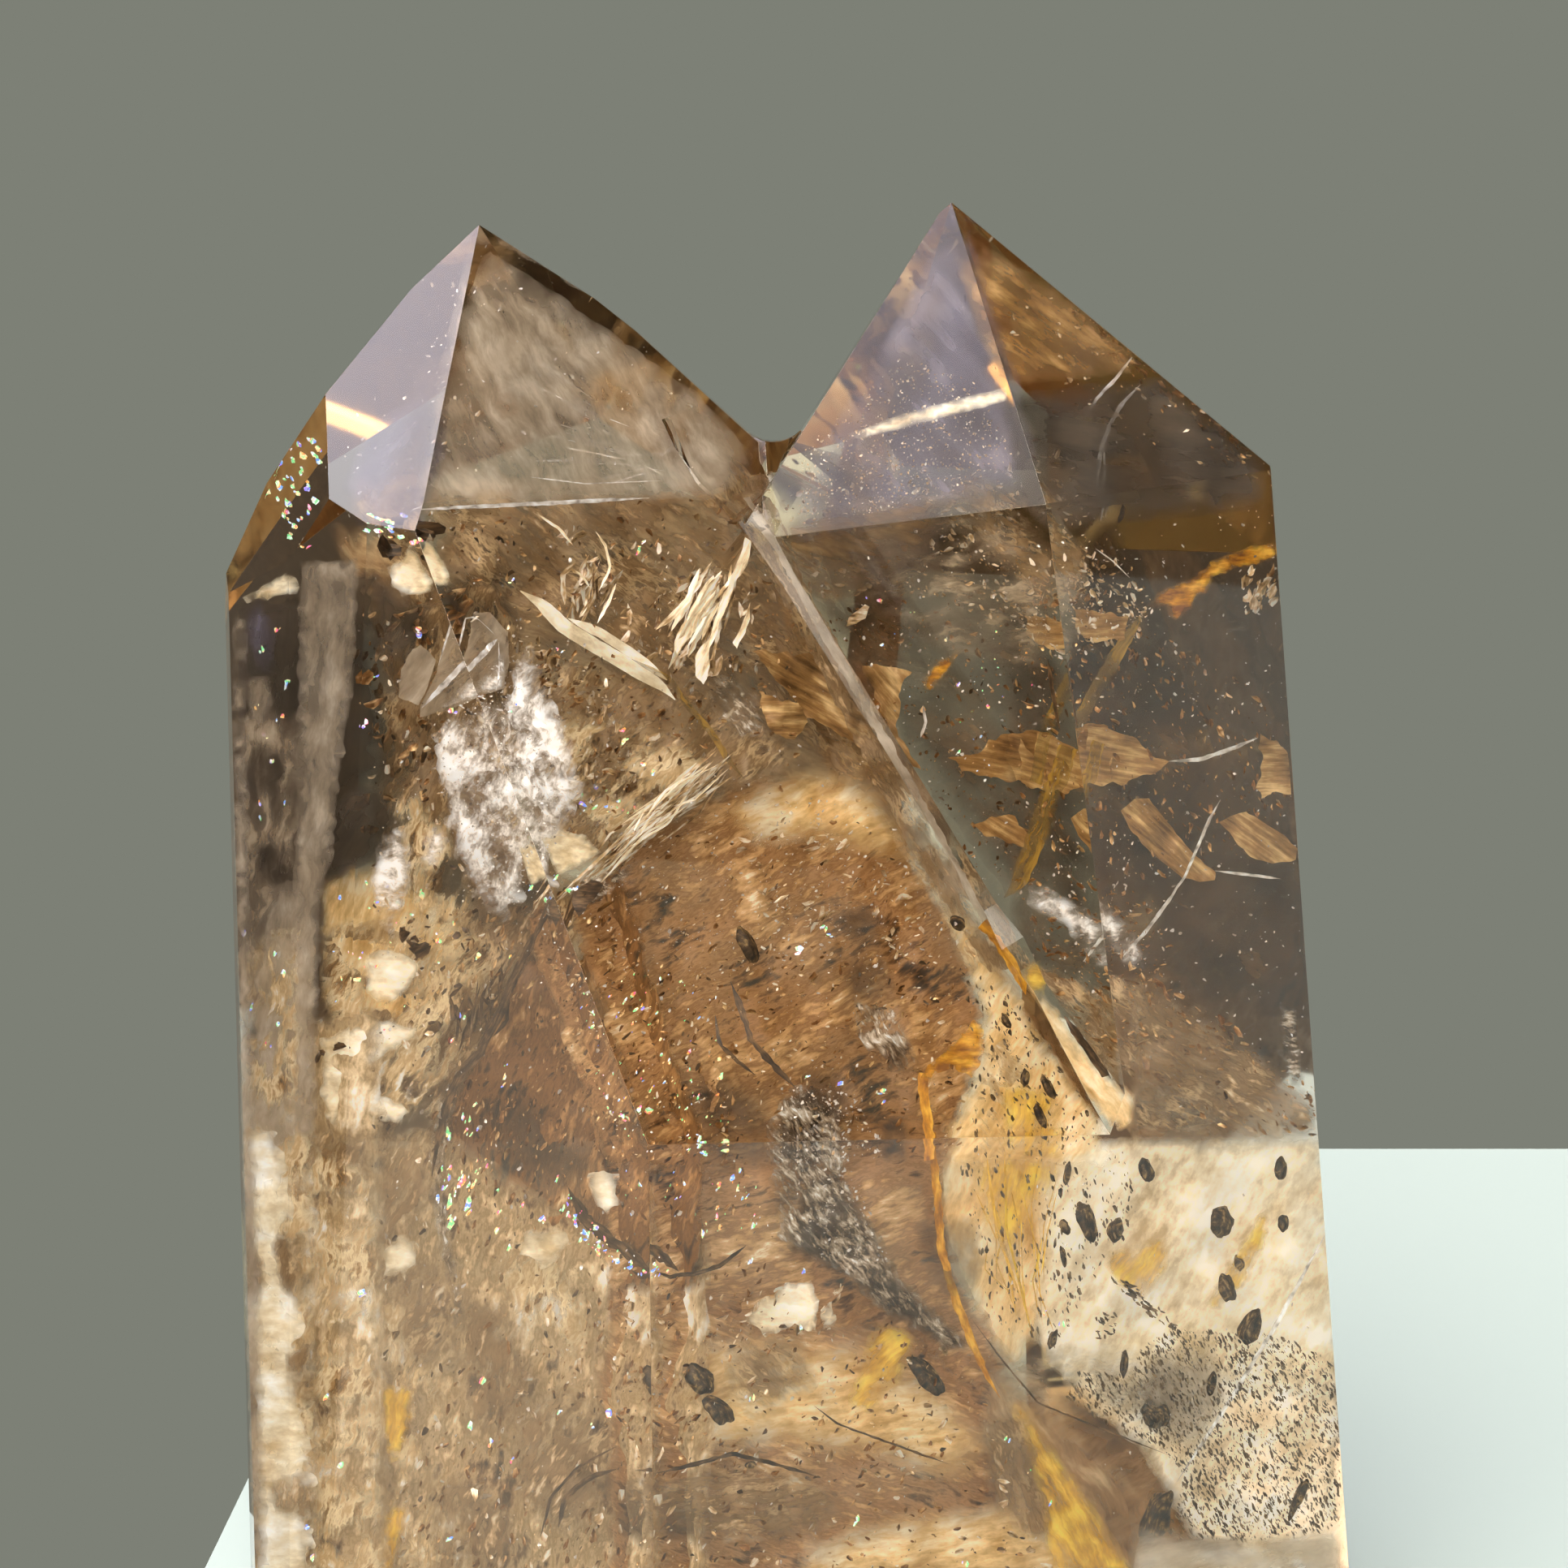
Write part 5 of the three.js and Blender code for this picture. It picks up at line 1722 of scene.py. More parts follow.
@dataclass
class CreamFeathers(Inclusion):
    """Bright cream blades and flakes of open cracks."""

    name: str = "cream_feathers"
    finish: GrownFinish = CREAM_FLAKE
    seed: int = 11
    patches: tuple[Patch, ...] = (
        Spray(Facet.LEANING, ((690, 1120), (760, 1050)), ((860, 960), (910, 930)), 70, 0.13,
            (3.0, 5.0)),
        Spray(Facet.LEANING, ((690, 760), (720, 790)), ((700, 690), (765, 690)), 16, 0.2, (3.0, 6.0)),
        Spray(Facet.LEANING, ((830, 790), (870, 830)), ((870, 690), (910, 700)), 26, 0.16, (3.0, 5.0)),
        Drift(Facet.LEANING, ((690, 640), (780, 660), (930, 720), (940, 820), (860, 860), (700, 760)),
            (3.0, 9.0), 150, (0.2, 1.3), 2.6, 60, 35),
        Drift(Facet.LEANING, ((620, 760), (720, 820), (800, 880), (880, 960), (760, 1040), (700, 1000),
            (650, 880)), (3.0, 9.0), 420, (0.15, 0.9), 2.0, 45, 60),
        Drift(Facet.RIGHT_INNER, ((960, 640), (1110, 620), (1240, 618), (1300, 690), (1390, 760),
            (1330, 800), (1220, 760), (1100, 730), (1000, 740)), (3.0, 10.0), 520, (0.12, 0.6), 2.0,
            -30, 60),
        Drift(Facet.RIGHT_BROAD, ((1310, 640), (1360, 700), (1420, 770), (1400, 800), (1330, 790),
            (1305, 720)), (4.0, 9.0), 160, (0.12, 0.6), 2.2, -45, 40),
        Drift(Facet.RIGHT_LILAC, ((985, 560), (1110, 440), (1200, 470), (1250, 560), (1180, 610),
            (990, 650)), (0.6, 1.8), 1100, (0.05, 0.2), 1.6),
        Drift(Facet.RIGHT_BROAD, ((1528, 705), (1572, 696), (1572, 740), (1550, 752), (1535, 768)),
            (2.0, 3.5), 36, (0.25, 1.2), 2.2, 70, 25, flash=0.1),
        Drift(Facet.LOWER_BROAD, ((880, 1590), (1040, 1580), (1040, 1650), (900, 1660)), (2.5, 5.0), 60,
            (0.2, 0.9), 3.0, 50, 40),
        Drift(Facet.LEANING, ((880, 1020), (1000, 1000), (1100, 1060), (1150, 1180), (1060, 1180),
            (900, 1120)), (5.0, 8.5), 200, (0.15, 0.9), 3.0, 20, 60),
        Sheet(Facet.RIGHT_INNER, ((1043, 772), (1045, 762), (1065, 745), (1072, 748), (1066, 762),
            (1055, 768)), depth=3.0, relief=0.2, soft=0, cell=5, ragged=2),
        Drift(Facet.LEFT_BROAD, ((458, 760), (560, 760), (640, 1100), (620, 1200), (540, 1440),
            (458, 1440)), (2.2, 5.0), 200, (0.08, 0.7), 1.8, 60, 70),
        Drift(Facet.LEFT_BROAD, ((458, 1440), (560, 1500), (800, 1600), (800, 1932), (458, 1932)),
            (2.2, 5.0), 240, (0.1, 0.9), 1.8, 75, 50),
        Drift(Facet.LOWER_BROAD, ((810, 1600), (1180, 1660), (1300, 1932), (810, 1932)), (2.5, 5.5),
            180, (0.08, 0.8), 1.8, 20, 60),
        Drift(Facet.LEANING, DOME_FRONT, (3.0, 5.2), 620, (0.06, 0.4), 2.4, 30, 60, flash=0.5),
        Drift(Facet.LEFT_CROWN, ((600, 330), (860, 500), (880, 590), (530, 610)), (1.2, 4.0), 110,
            (0.08, 0.5), 1.8, 30, 60),
        Drift(Facet.RIGHT_CROWN, ((1240, 330), (1395, 410), (1470, 480), (1560, 560), (1500, 590),
            (1250, 460)), (1.2, 4.0), 120, (0.06, 0.5), 2.0, -30, 50),
    )


@dataclass
class PaleBlades(Inclusion):
    """The bright feather blades under the notch, and the fan at the dome's shoulder."""

    name: str = "pale_blades"
    finish: GrownFinish = PALE_BLADE
    seed: int = 28
    patches: tuple[Patch, ...] = (
        Sheet(Facet.LEANING, ((919, 662), (927, 666), (922, 694), (906, 719), (900, 737), (887, 766),
            (875, 800), (872, 837), (867, 844), (858, 831), (856, 809), (875, 781), (887, 744),
            (900, 716), (908, 694)), depth=1.6, relief=0.3, grain=65, soft=0, cell=6, ragged=3),
        Sheet(Facet.LEANING, ((878, 709), (862, 731), (850, 756), (834, 781), (830, 800), (834, 805),
            (856, 778), (875, 750), (884, 725)), depth=1.8, relief=0.3, grain=60, soft=0, cell=6,
            ragged=3),
        Sheet(Facet.LEANING, ((925, 741), (925, 762), (916, 787), (909, 800), (903, 791), (916, 766)),
            depth=1.6, relief=0.3, grain=65, soft=0, cell=5, ragged=3),
        Ribbon(Facet.LEANING, ((734, 655), (746, 672), (752, 700), (738, 728)), 0.14, (1.5, 2.0)),
        Ribbon(Facet.LEANING, ((663, 634), (690, 652), (706, 672)), 0.14, (1.5, 2.0)),
        Ribbon(Facet.LEANING, ((701, 700), (716, 708), (727, 724)), 0.13, (1.5, 2.0)),
        Ribbon(Facet.LEANING, ((759, 719), (750, 742), (736, 768)), 0.15, (1.5, 2.0)),
        Ribbon(Facet.LEANING, ((862, 700), (848, 738), (828, 760), (808, 776)), 0.3, (1.5, 2.0)),
        Spray(Facet.LEANING, ((730, 1080), (775, 1010)), ((850, 965), (905, 925)), 22, 0.1, (2.0, 3.5),
            bend=5),
        Spray(Facet.LEANING, ((806, 800), (850, 835)), ((870, 700), (905, 715)), 14, 0.2, (1.8, 2.6),
            bend=4),
    )


@dataclass
class GoldenFlakes(Inclusion):
    """Golden-brown flakes spread through the body."""

    name: str = "golden_flakes"
    finish: GrownFinish = GOLD_FLAKE
    smooth: bool = False
    seed: int = 12
    patches: tuple[Patch, ...] = (
        Drift(Facet.LEANING, ((640, 800), (740, 820), (850, 900), (860, 980), (740, 1060), (700, 1060),
            (660, 960)), (4.0, 9.0), 500, (0.15, 0.7), 2.0, 40, 70),
        Drift(Facet.LEANING, ((740, 1180), (860, 1180), (900, 1400), (790, 1410), (750, 1290)),
            (4.0, 8.0), 260, (0.15, 0.6), 1.8, 60, 20),
        Drift(Facet.LEANING, ((860, 1150), (1150, 1180), (1190, 1400), (900, 1410)), (4.0, 8.5), 320,
            (0.12, 0.7), 2.6, 30, 60),
        Drift(Facet.RIGHT_INNER, ((1000, 760), (1300, 700), (1310, 900), (1290, 1100), (1180, 1060),
            (1080, 850)), (3.0, 14.0), 420, (0.1, 0.5), 1.8),
        Drift(Facet.RIGHT_BROAD, ((1310, 780), (1420, 770), (1560, 860), (1590, 1000), (1500, 1080),
            (1380, 1080), (1310, 1000)), (3.0, 13.0), 520, (0.1, 0.7), 2.4, 110, 40),
        Drift(Facet.RIGHT_BROAD, ((1392, 1180), (1500, 1250), (1620, 1340), (1620, 1400), (1500, 1390),
            (1392, 1320)), (3.0, 8.0), 360, (0.12, 0.8), 2.6, -35, 40),
        Drift(Facet.RIGHT_INNER, ((1250, 1080), (1385, 1120), (1385, 1300), (1300, 1240)), (3.0, 8.0),
            240, (0.12, 0.6), 2.6, -30, 50),
        Drift(Facet.RIGHT_CROWN, ((1320, 380), (1395, 430), (1470, 490), (1565, 570), (1500, 570),
            (1420, 500)), (1.5, 5.0), 120, (0.15, 0.9), 2.4, -40, 25),
        Drift(Facet.LEFT_BROAD, ((440, 760), (520, 740), (560, 880), (520, 1000), (450, 900)),
            (3.0, 8.0), 130, (0.2, 1.2), 2.0, 60, 50),
        Drift(Facet.LEFT_BROAD, ((530, 1350), (620, 1340), (760, 1420), (720, 1480), (600, 1560),
            (545, 1500)), (3.0, 8.0), 220, (0.15, 0.8), 3.0, 75, 25),
        Drift(Facet.LEFT_BROAD, ((560, 1120), (690, 1090), (735, 1210), (790, 1400), (700, 1440),
            (540, 1350), (560, 1240)), (3.0, 5.5), 300, (0.1, 0.7), 2.6, 62, 25),
        Drift(Facet.LOWER_BROAD, ((810, 1420), (960, 1420), (960, 1600), (1150, 1640), (1180, 1800),
            (850, 1820), (808, 1600)), (3.0, 9.0), 420, (0.12, 0.6), 2.6, 70, 40),
        Drift(Facet.LEFT_BROAD, ((600, 1560), (800, 1560), (800, 1932), (480, 1932), (560, 1700)),
            (2.0, 5.5), 420, (0.1, 0.7), 2.2, 70, 40),
        Drift(Facet.LEANING, DOME_FRONT, (4.0, 6.2), 520, (0.06, 0.5), 2.4, 30, 50),
        Drift(Facet.LEANING, ((520, 620), (930, 610), (1010, 800), (1000, 930), (760, 1040),
            (640, 860)), (2.5, 6.0), 520, (0.08, 0.6), 2.0, 40, 80),
        Drift(Facet.LOWER_BROAD, ((810, 1600), (1180, 1640), (1300, 1932), (810, 1932)), (2.5, 6.0),
            420, (0.08, 0.7), 2.2, 20, 60),
    )


@dataclass
class SilverGlitter(Inclusion):
    """Fine glitter of clear pockets all through the crystal."""

    name: str = "silver_glitter"
    finish: GrownFinish = SILVER_FLAKE
    smooth: bool = False
    seed: int = 13
    patches: tuple[Patch, ...] = (
        Drift(Facet.LEANING, ((520, 640), (900, 640), (1000, 760), (1200, 1150), (1200, 1400),
            (800, 1400)), (1.0, 16.0), 700, (0.06, 0.3), 1.6, flash=0.35),
        Drift(Facet.LEFT_BROAD, ((460, 700), (640, 1000), (780, 1400), (800, 1932), (460, 1932)),
            (1.0, 14.0), 380, (0.08, 0.4), 1.8, 75, 40, flash=0.35),
        Drift(Facet.RIGHT_INNER, ((960, 640), (1290, 610), (1310, 900), (1380, 1300), (1200, 1100)),
            (1.0, 14.0), 460, (0.06, 0.26), 1.6, flash=0.3),
        Drift(Facet.RIGHT_BROAD, ((1310, 640), (1570, 620), (1620, 1400), (1400, 1400)), (1.0, 12.0),
            420, (0.06, 0.28), 1.8, flash=0.15),
        Drift(Facet.LOWER_BROAD, ((810, 1420), (1400, 1420), (1640, 1440), (1650, 1932), (810, 1932)),
            (1.0, 14.0), 420, (0.06, 0.3), 2.2, 80, 40, flash=0.3),
        Drift(Facet.LEFT_CROWN, ((590, 320), (860, 500), (868, 590), (530, 600)), (1.0, 7.0), 160,
            (0.06, 0.3), 2.0, flash=0.3),
        Drift(Facet.LEFT_LILAC, ((560, 330), (580, 330), (510, 650), (440, 630), (420, 540)),
            (1.0, 7.0), 120, (0.06, 0.3), 2.0, flash=0.3),
        Drift(Facet.LEANING, ((960, 1330), (1060, 1350), (1090, 1410), (960, 1412)), (3.0, 5.0), 160,
            (0.06, 0.3), 1.8, flash=0.4),
        Drift(Facet.LOWER_BROAD, ((950, 1412), (1040, 1412), (1100, 1560), (1010, 1550)), (3.0, 5.0),
            260, (0.06, 0.3), 1.8, flash=0.4),
        Drift(Facet.LEFT_BROAD, ((600, 810), (640, 830), (690, 890), (690, 980), (640, 1110),
            (600, 1110), (545, 980), (540, 900)), (1.2, 2.2), 900, (0.04, 0.2), 1.6, flash=0.2),
        Drift(Facet.LEANING, ((690, 960), (900, 940), (1080, 1000), (1180, 1160), (1100, 1200),
            (760, 1200), (700, 1110)), (4.0, 6.0), 700, (0.05, 0.22), 2.0, 25, 60, flash=0.2),
    )


@dataclass
class RainbowGlints(Inclusion):
    """Rainbow films, and the bright droplets at the left shoulder, which are painted highlights: glints
    of the sun, made to glow.
    """

    name: str = "rainbow_glints"
    finish: GrownFinish = RAINBOW_FILM
    smooth: bool = False
    seed: int = 14
    patches: tuple[Patch, ...] = (
        Specks(Facet.SHOULDER, ((383, 541), (368, 547), (394, 552), (360, 552), (362, 564), (338, 578),
            (393, 567), (372, 580), (352, 588), (329, 605), (365, 609), (354, 622), (351, 633),
            (354, 642), (363, 650), (357, 661), (371, 669), (388, 617), (345, 600), (378, 594),
            (384, 560), (344, 570), (374, 562), (360, 596), (346, 615), (370, 640), (382, 630),
            (376, 605)), (0.6, 1.4), 2, (0.2, 0.5), 1.5, -50, 30, tilt=0.5, flash=0.5),
        Specks(Facet.LEFT_SIDE, ((322, 800), (318, 868), (328, 905), (320, 1006), (318, 990),
            (334, 940), (345, 776), (352, 842), (346, 884), (349, 1200), (338, 1176), (300, 1150),
            (312, 1240), (344, 1262), (330, 1290), (352, 990)), (0.6, 1.2), 2, (0.12, 0.4), 1.8, 80, 30,
            tilt=0.5, flash=0.3),
        Specks(Facet.LEFT_LILAC, ((452, 648), (466, 651), (480, 653), (494, 656), (506, 658),
            (472, 640), (486, 644), (498, 636), (460, 638)), (0.6, 1.2), 2, (0.15, 0.5), 1.8, -10, 20,
            tilt=0.5, flash=0.4),
        Specks(Facet.LEFT_BROAD, ((554, 1438), (569, 1448), (543, 1480), (554, 1499), (582, 1494),
            (613, 1466), (615, 1494), (613, 1516), (641, 1484), (672, 1501), (685, 1454), (691, 1488),
            (708, 1505), (724, 1520), (741, 1538), (557, 1400), (572, 1380), (588, 1362), (569, 1253),
            (651, 1091), (630, 1178), (622, 1312), (624, 1328), (619, 1337), (546, 1440), (548, 1462),
            (600, 1440), (630, 1540), (700, 1494), (716, 1530)), (1.6, 2.6), 2, (0.1, 0.5), 2.6, 65, 25,
            tilt=0.5, flash=0.6),
        Specks(Facet.LEFT_BROAD, ((399, 1724), (446, 1594), (419, 1805), (376, 1885), (379, 1923),
            (594, 1701), (577, 1757), (629, 1798), (604, 1779), (551, 1898), (694, 1740), (732, 1757),
            (751, 1741), (461, 1112), (520, 1100), (540, 1160), (590, 1180), (440, 1180), (557, 878),
            (622, 869), (460, 833), (451, 892), (419, 1106), (516, 778)), (1.2, 2.4), 2, (0.12, 0.5),
            1.6, 60, 40, tilt=0.5, flash=0.5),
        Specks(Facet.LOWER_BROAD, ((883, 1488), (836, 1476), (866, 1518), (931, 1510), (925, 1555),
            (989, 1568), (986, 1637), (927, 1723), (1056, 1876), (1187, 1926), (1244, 1771),
            (1269, 1813), (1295, 1848), (1289, 1616), (1305, 1632), (903, 1451), (911, 1464),
            (919, 1476)), (1.6, 2.8), 2, (0.1, 0.5), 2.4, 80, 25, tilt=0.5, flash=0.5),
        Specks(Facet.LEANING, ((688, 800), (694, 804), (630, 716), (767, 901), (772, 914), (794, 944),
            (806, 953), (790, 676), (793, 668), (887, 1327), (867, 1408), (860, 1400), (872, 1415),
            (895, 1408), (1016, 1144), (1022, 1153), (987, 1172), (996, 1324), (1037, 1333),
            (1087, 1345), (1087, 1358), (719, 990), (733, 994), (747, 998), (702, 1098), (708, 1094),
            (775, 1360), (788, 1364), (800, 1370)), (1.6, 2.8), 2, (0.12, 0.5), 1.8, 30, 50, tilt=0.5,
            flash=0.5),
        Specks(Facet.LEANING, ((816, 1281), (822, 1306), (829, 1331), (835, 1353), (842, 1380),
            (848, 1403), (849, 1318), (854, 1334), (859, 1350), (752, 1226), (770, 1234), (790, 1240),
            (810, 1250), (760, 1250), (782, 1258), (800, 1262), (764, 1310), (786, 1322), (806, 1336)),
            (2.4, 3.4), 2, (0.08, 0.3), 2.2, 70, 20, tilt=0.5, flash=0.5),
        Drift(Facet.LEFT_BROAD, ((545, 1380), (590, 1360), (600, 1440), (560, 1530), (540, 1470)),
            (2.0, 4.0), 34, (0.2, 0.9), 2.6, 70, 15, flash=0.8),
        Drift(Facet.LEFT_BROAD, ((700, 1470), (760, 1540), (800, 1570), (790, 1580), (730, 1540),
            (695, 1490)), (1.6, 2.6), 60, (0.1, 0.4), 1.6, flash=0.8),
        Drift(Facet.LEANING, ((740, 1180), (880, 1200), (900, 1400), (800, 1400)), (3.0, 6.0), 60,
            (0.1, 0.45), 2.0, 60, 30, flash=0.7),
        Drift(Facet.LEANING, ((700, 960), (820, 990), (810, 1000), (700, 1010)), (3.0, 6.0), 24,
            (0.15, 0.5), 1.8, flash=0.8),
        Drift(Facet.LOWER_BROAD, ((810, 1440), (960, 1440), (960, 1520), (820, 1520)), (3.0, 6.0), 34,
            (0.1, 0.6), 2.2, 80, 20, flash=0.8),
        Drift(Facet.LEFT_BROAD, ((400, 1080), (560, 1080), (640, 1180), (560, 1300), (400, 1250)),
            (2.0, 5.0), 26, (0.15, 0.5), 1.6, flash=0.8),
        Drift(Facet.RIGHT_INNER, ((1060, 700), (1290, 800), (1290, 880), (1180, 1000), (1080, 800)),
            (2.0, 5.0), 30, (0.08, 0.35), 1.6, flash=0.7),
    )


@dataclass
class DarkSeeds(Inclusion):
    """Dark seed-like negative crystals."""

    name: str = "dark_seeds"
    finish: GrownFinish = DARK_SEED
    seed: int = 15
    patches: tuple[Patch, ...] = (
        Seed(Facet.LEANING, (921, 1164), 3.5, 1.9, 0.85, -62),
        Seed(Facet.LEANING, (1180, 1137), 3.0, 0.95, 0.7, -30),
        *(Seed(Facet.LOWER_BROAD, *sizes) for sizes in (
            ((862, 1700), 4.0, 1.9, 1.1, -40), ((886, 1738), 4.0, 1.9, 1.0, -35),
            ((1142, 1696), 4.0, 2.9, 1.0, -40), ((1339, 1506), 3.0, 2.4, 1.0, -62),
            ((1375, 1516), 4.0, 1.2, 1.0, 90), ((1413, 1442), 4.0, 1.35, 0.8, -60),
            ((1505, 1505), 4.0, 1.75, 1.4, -60, 0.35), ((1578, 1440), 3.0, 1.3, 0.8, -80),
            ((1581, 1507), 3.0, 1.0, 0.72, -70), ((1512, 1588), 3.0, 1.7, 1.05, -60),
            ((1527, 1556), 4.0, 0.95, 0.6, -55), ((1540, 1636), 3.0, 2.0, 1.4, 70, 0.35),
            ((1385, 1680), 3.0, 1.45, 0.5, -85), ((1297, 1650), 3.0, 1.05, 0.5, 75),
            ((1310, 1548), 3.0, 1.1, 0.35, -70), ((1312, 1512), 3.0, 1.0, 0.5, -50),
            ((1315, 1446), 3.0, 1.2, 0.45, 85), ((1493, 1705), 4.0, 1.35, 0.6, 85),
            ((1425, 1738), 5.0, 2.0, 1.8, -30, 0.4), ((1424, 1870), 4.0, 3.2, 1.8, 75, 0.4),
            ((1600, 1845), 2.5, 2.4, 0.7, 70, 0.3),
        )),
        Seed(Facet.LEANING, (1292, 1340), 3.0, 1.4, 0.55, -55),
        Seed(Facet.LEANING, (1282, 1375), 3.0, 1.3, 0.5, -65),
        Seed(Facet.LEANING, (1263, 1328), 3.0, 0.9, 0.5, 80),
        Seed(Facet.GROOVE_FOOT, (1344, 1335), 3.0, 1.4, 0.8, -45, 0.3),
        Seed(Facet.LEANING, (1240, 1258), 3.0, 0.9, 0.4, -60),
        Seed(Facet.LOWER_BROAD, (925, 1805), 2.0, 0.6, 0.35, 0),
    )


@dataclass
class EtchRows(Inclusion):
    """Rows of short dark etch marks, and dark dashes before bright places."""

    name: str = "etch_rows"
    finish: GrownFinish = ETCH_MARK
    smooth: bool = False
    seed: int = 16
    patches: tuple[Patch, ...] = (
        Drift(Facet.LOWER_BROAD, ((1440, 1638), (1569, 1645), (1634, 1671), (1650, 1706), (1652, 1884),
            (1569, 1896), (1472, 1903), (1440, 1890), (1460, 1819), (1434, 1787), (1376, 1761),
            (1311, 1722), (1331, 1690), (1392, 1696), (1408, 1658)), (1.5, 5.5), 4200, (0.1, 0.46), 3.0,
            115, 18, flash=0.0),
        Drift(Facet.LOWER_BROAD, ((1180, 1420), (1390, 1420), (1400, 1500), (1300, 1660), (1220, 1640)),
            (2.0, 6.0), 380, (0.15, 0.6), 2.8, 100, 20, flash=0.0),
        Drift(Facet.LEANING, ((1180, 1180), (1250, 1230), (1330, 1330), (1360, 1400), (1200, 1400)),
            (2.0, 5.0), 260, (0.12, 0.45), 2.4, 110, 30, flash=0.0),
        Drift(Facet.LOWER_BROAD, ((1370, 1578), (1392, 1580), (1440, 1620), (1455, 1642), (1420, 1625)),
            (2.0, 4.0), 50, (0.25, 0.8), 2.6, -45, 25, flash=0.0),
        Drift(Facet.LOWER_BROAD, ((1350, 1620), (1375, 1616), (1378, 1645), (1352, 1650)), (2.0, 4.0),
            26, (0.2, 0.5), 2.4, -40, 40, flash=0.0),
    )


@dataclass
class PaleLines(Inclusion):
    """Thin bright crack lines and ribs."""

    name: str = "pale_lines"
    finish: GrownFinish = SILVER_FLAKE
    seed: int = 17
    patches: tuple[Patch, ...] = (
        Ribbon(Facet.RIGHT_CROWN, ((1395, 440), (1372, 470), (1352, 490), (1340, 508)), 0.16,
            (3.0, 3.5)),
        Ribbon(Facet.LEFT_BROAD, ((616, 770), (570, 820), (520, 872)), 0.3, (1.6, 1.6)),
        Ribbon(Facet.LEFT_BROAD, ((618, 773), (608, 815), (594, 856)), 0.16, (1.6, 1.6)),
        Ribbon(Facet.LEFT_BROAD, ((540, 820), (556, 768), (578, 760), (616, 766)), 0.1, (1.6, 1.6)),
        Ribbon(Facet.RIGHT_CROWN, ((1405, 474), (1382, 498), (1366, 526), (1356, 555), (1353, 585),
            (1352, 612)), 0.2, (3.0, 4.0)),
        Ribbon(Facet.RIGHT_CROWN, ((1360, 545), (1361, 580), (1358, 610)), 0.1, (3.0, 3.5)),
        Ribbon(Facet.RIGHT_BROAD, ((1497, 1073), (1541, 1078), (1578, 1083)), 0.14, (4.0, 4.0)),
        Ribbon(Facet.RIGHT_BROAD, ((1440, 938), (1478, 936), (1519, 922), (1550, 909)), 0.2,
            (5.0, 5.0)),
        Ribbon(Facet.RIGHT_BROAD, ((1382, 1180), (1410, 1150), (1440, 1110), (1452, 1092)), 0.18,
            (5.0, 6.0)),
        Ribbon(Facet.RIGHT_BROAD, ((1440, 1108), (1460, 1080), (1490, 1010), (1504, 985)), 0.16,
            (6.0, 6.0)),
        Ribbon(Facet.LOWER_BROAD, ((1634, 1519), (1569, 1638), (1505, 1742), (1450, 1826)), 0.22,
            (3.0, 4.0)),
        Ribbon(Facet.RIGHT_INNER, ((1137, 869), (1141, 891), (1134, 909)), 0.16, (3.0, 3.0)),
        Ribbon(Facet.LEFT_CROWN, ((508, 627), (600, 622), (707, 617), (800, 612)), 0.2, (1.0, 1.2)),
        Ribbon(Facet.RIGHT_BROAD, ((1350, 676), (1370, 690), (1392, 712)), 0.06, (4.0, 4.0)),
        Spray(Facet.LEFT_CROWN, ((600, 400), (640, 600)), ((760, 520), (860, 590)), 26, 0.05,
            (1.5, 4.0)),
    )


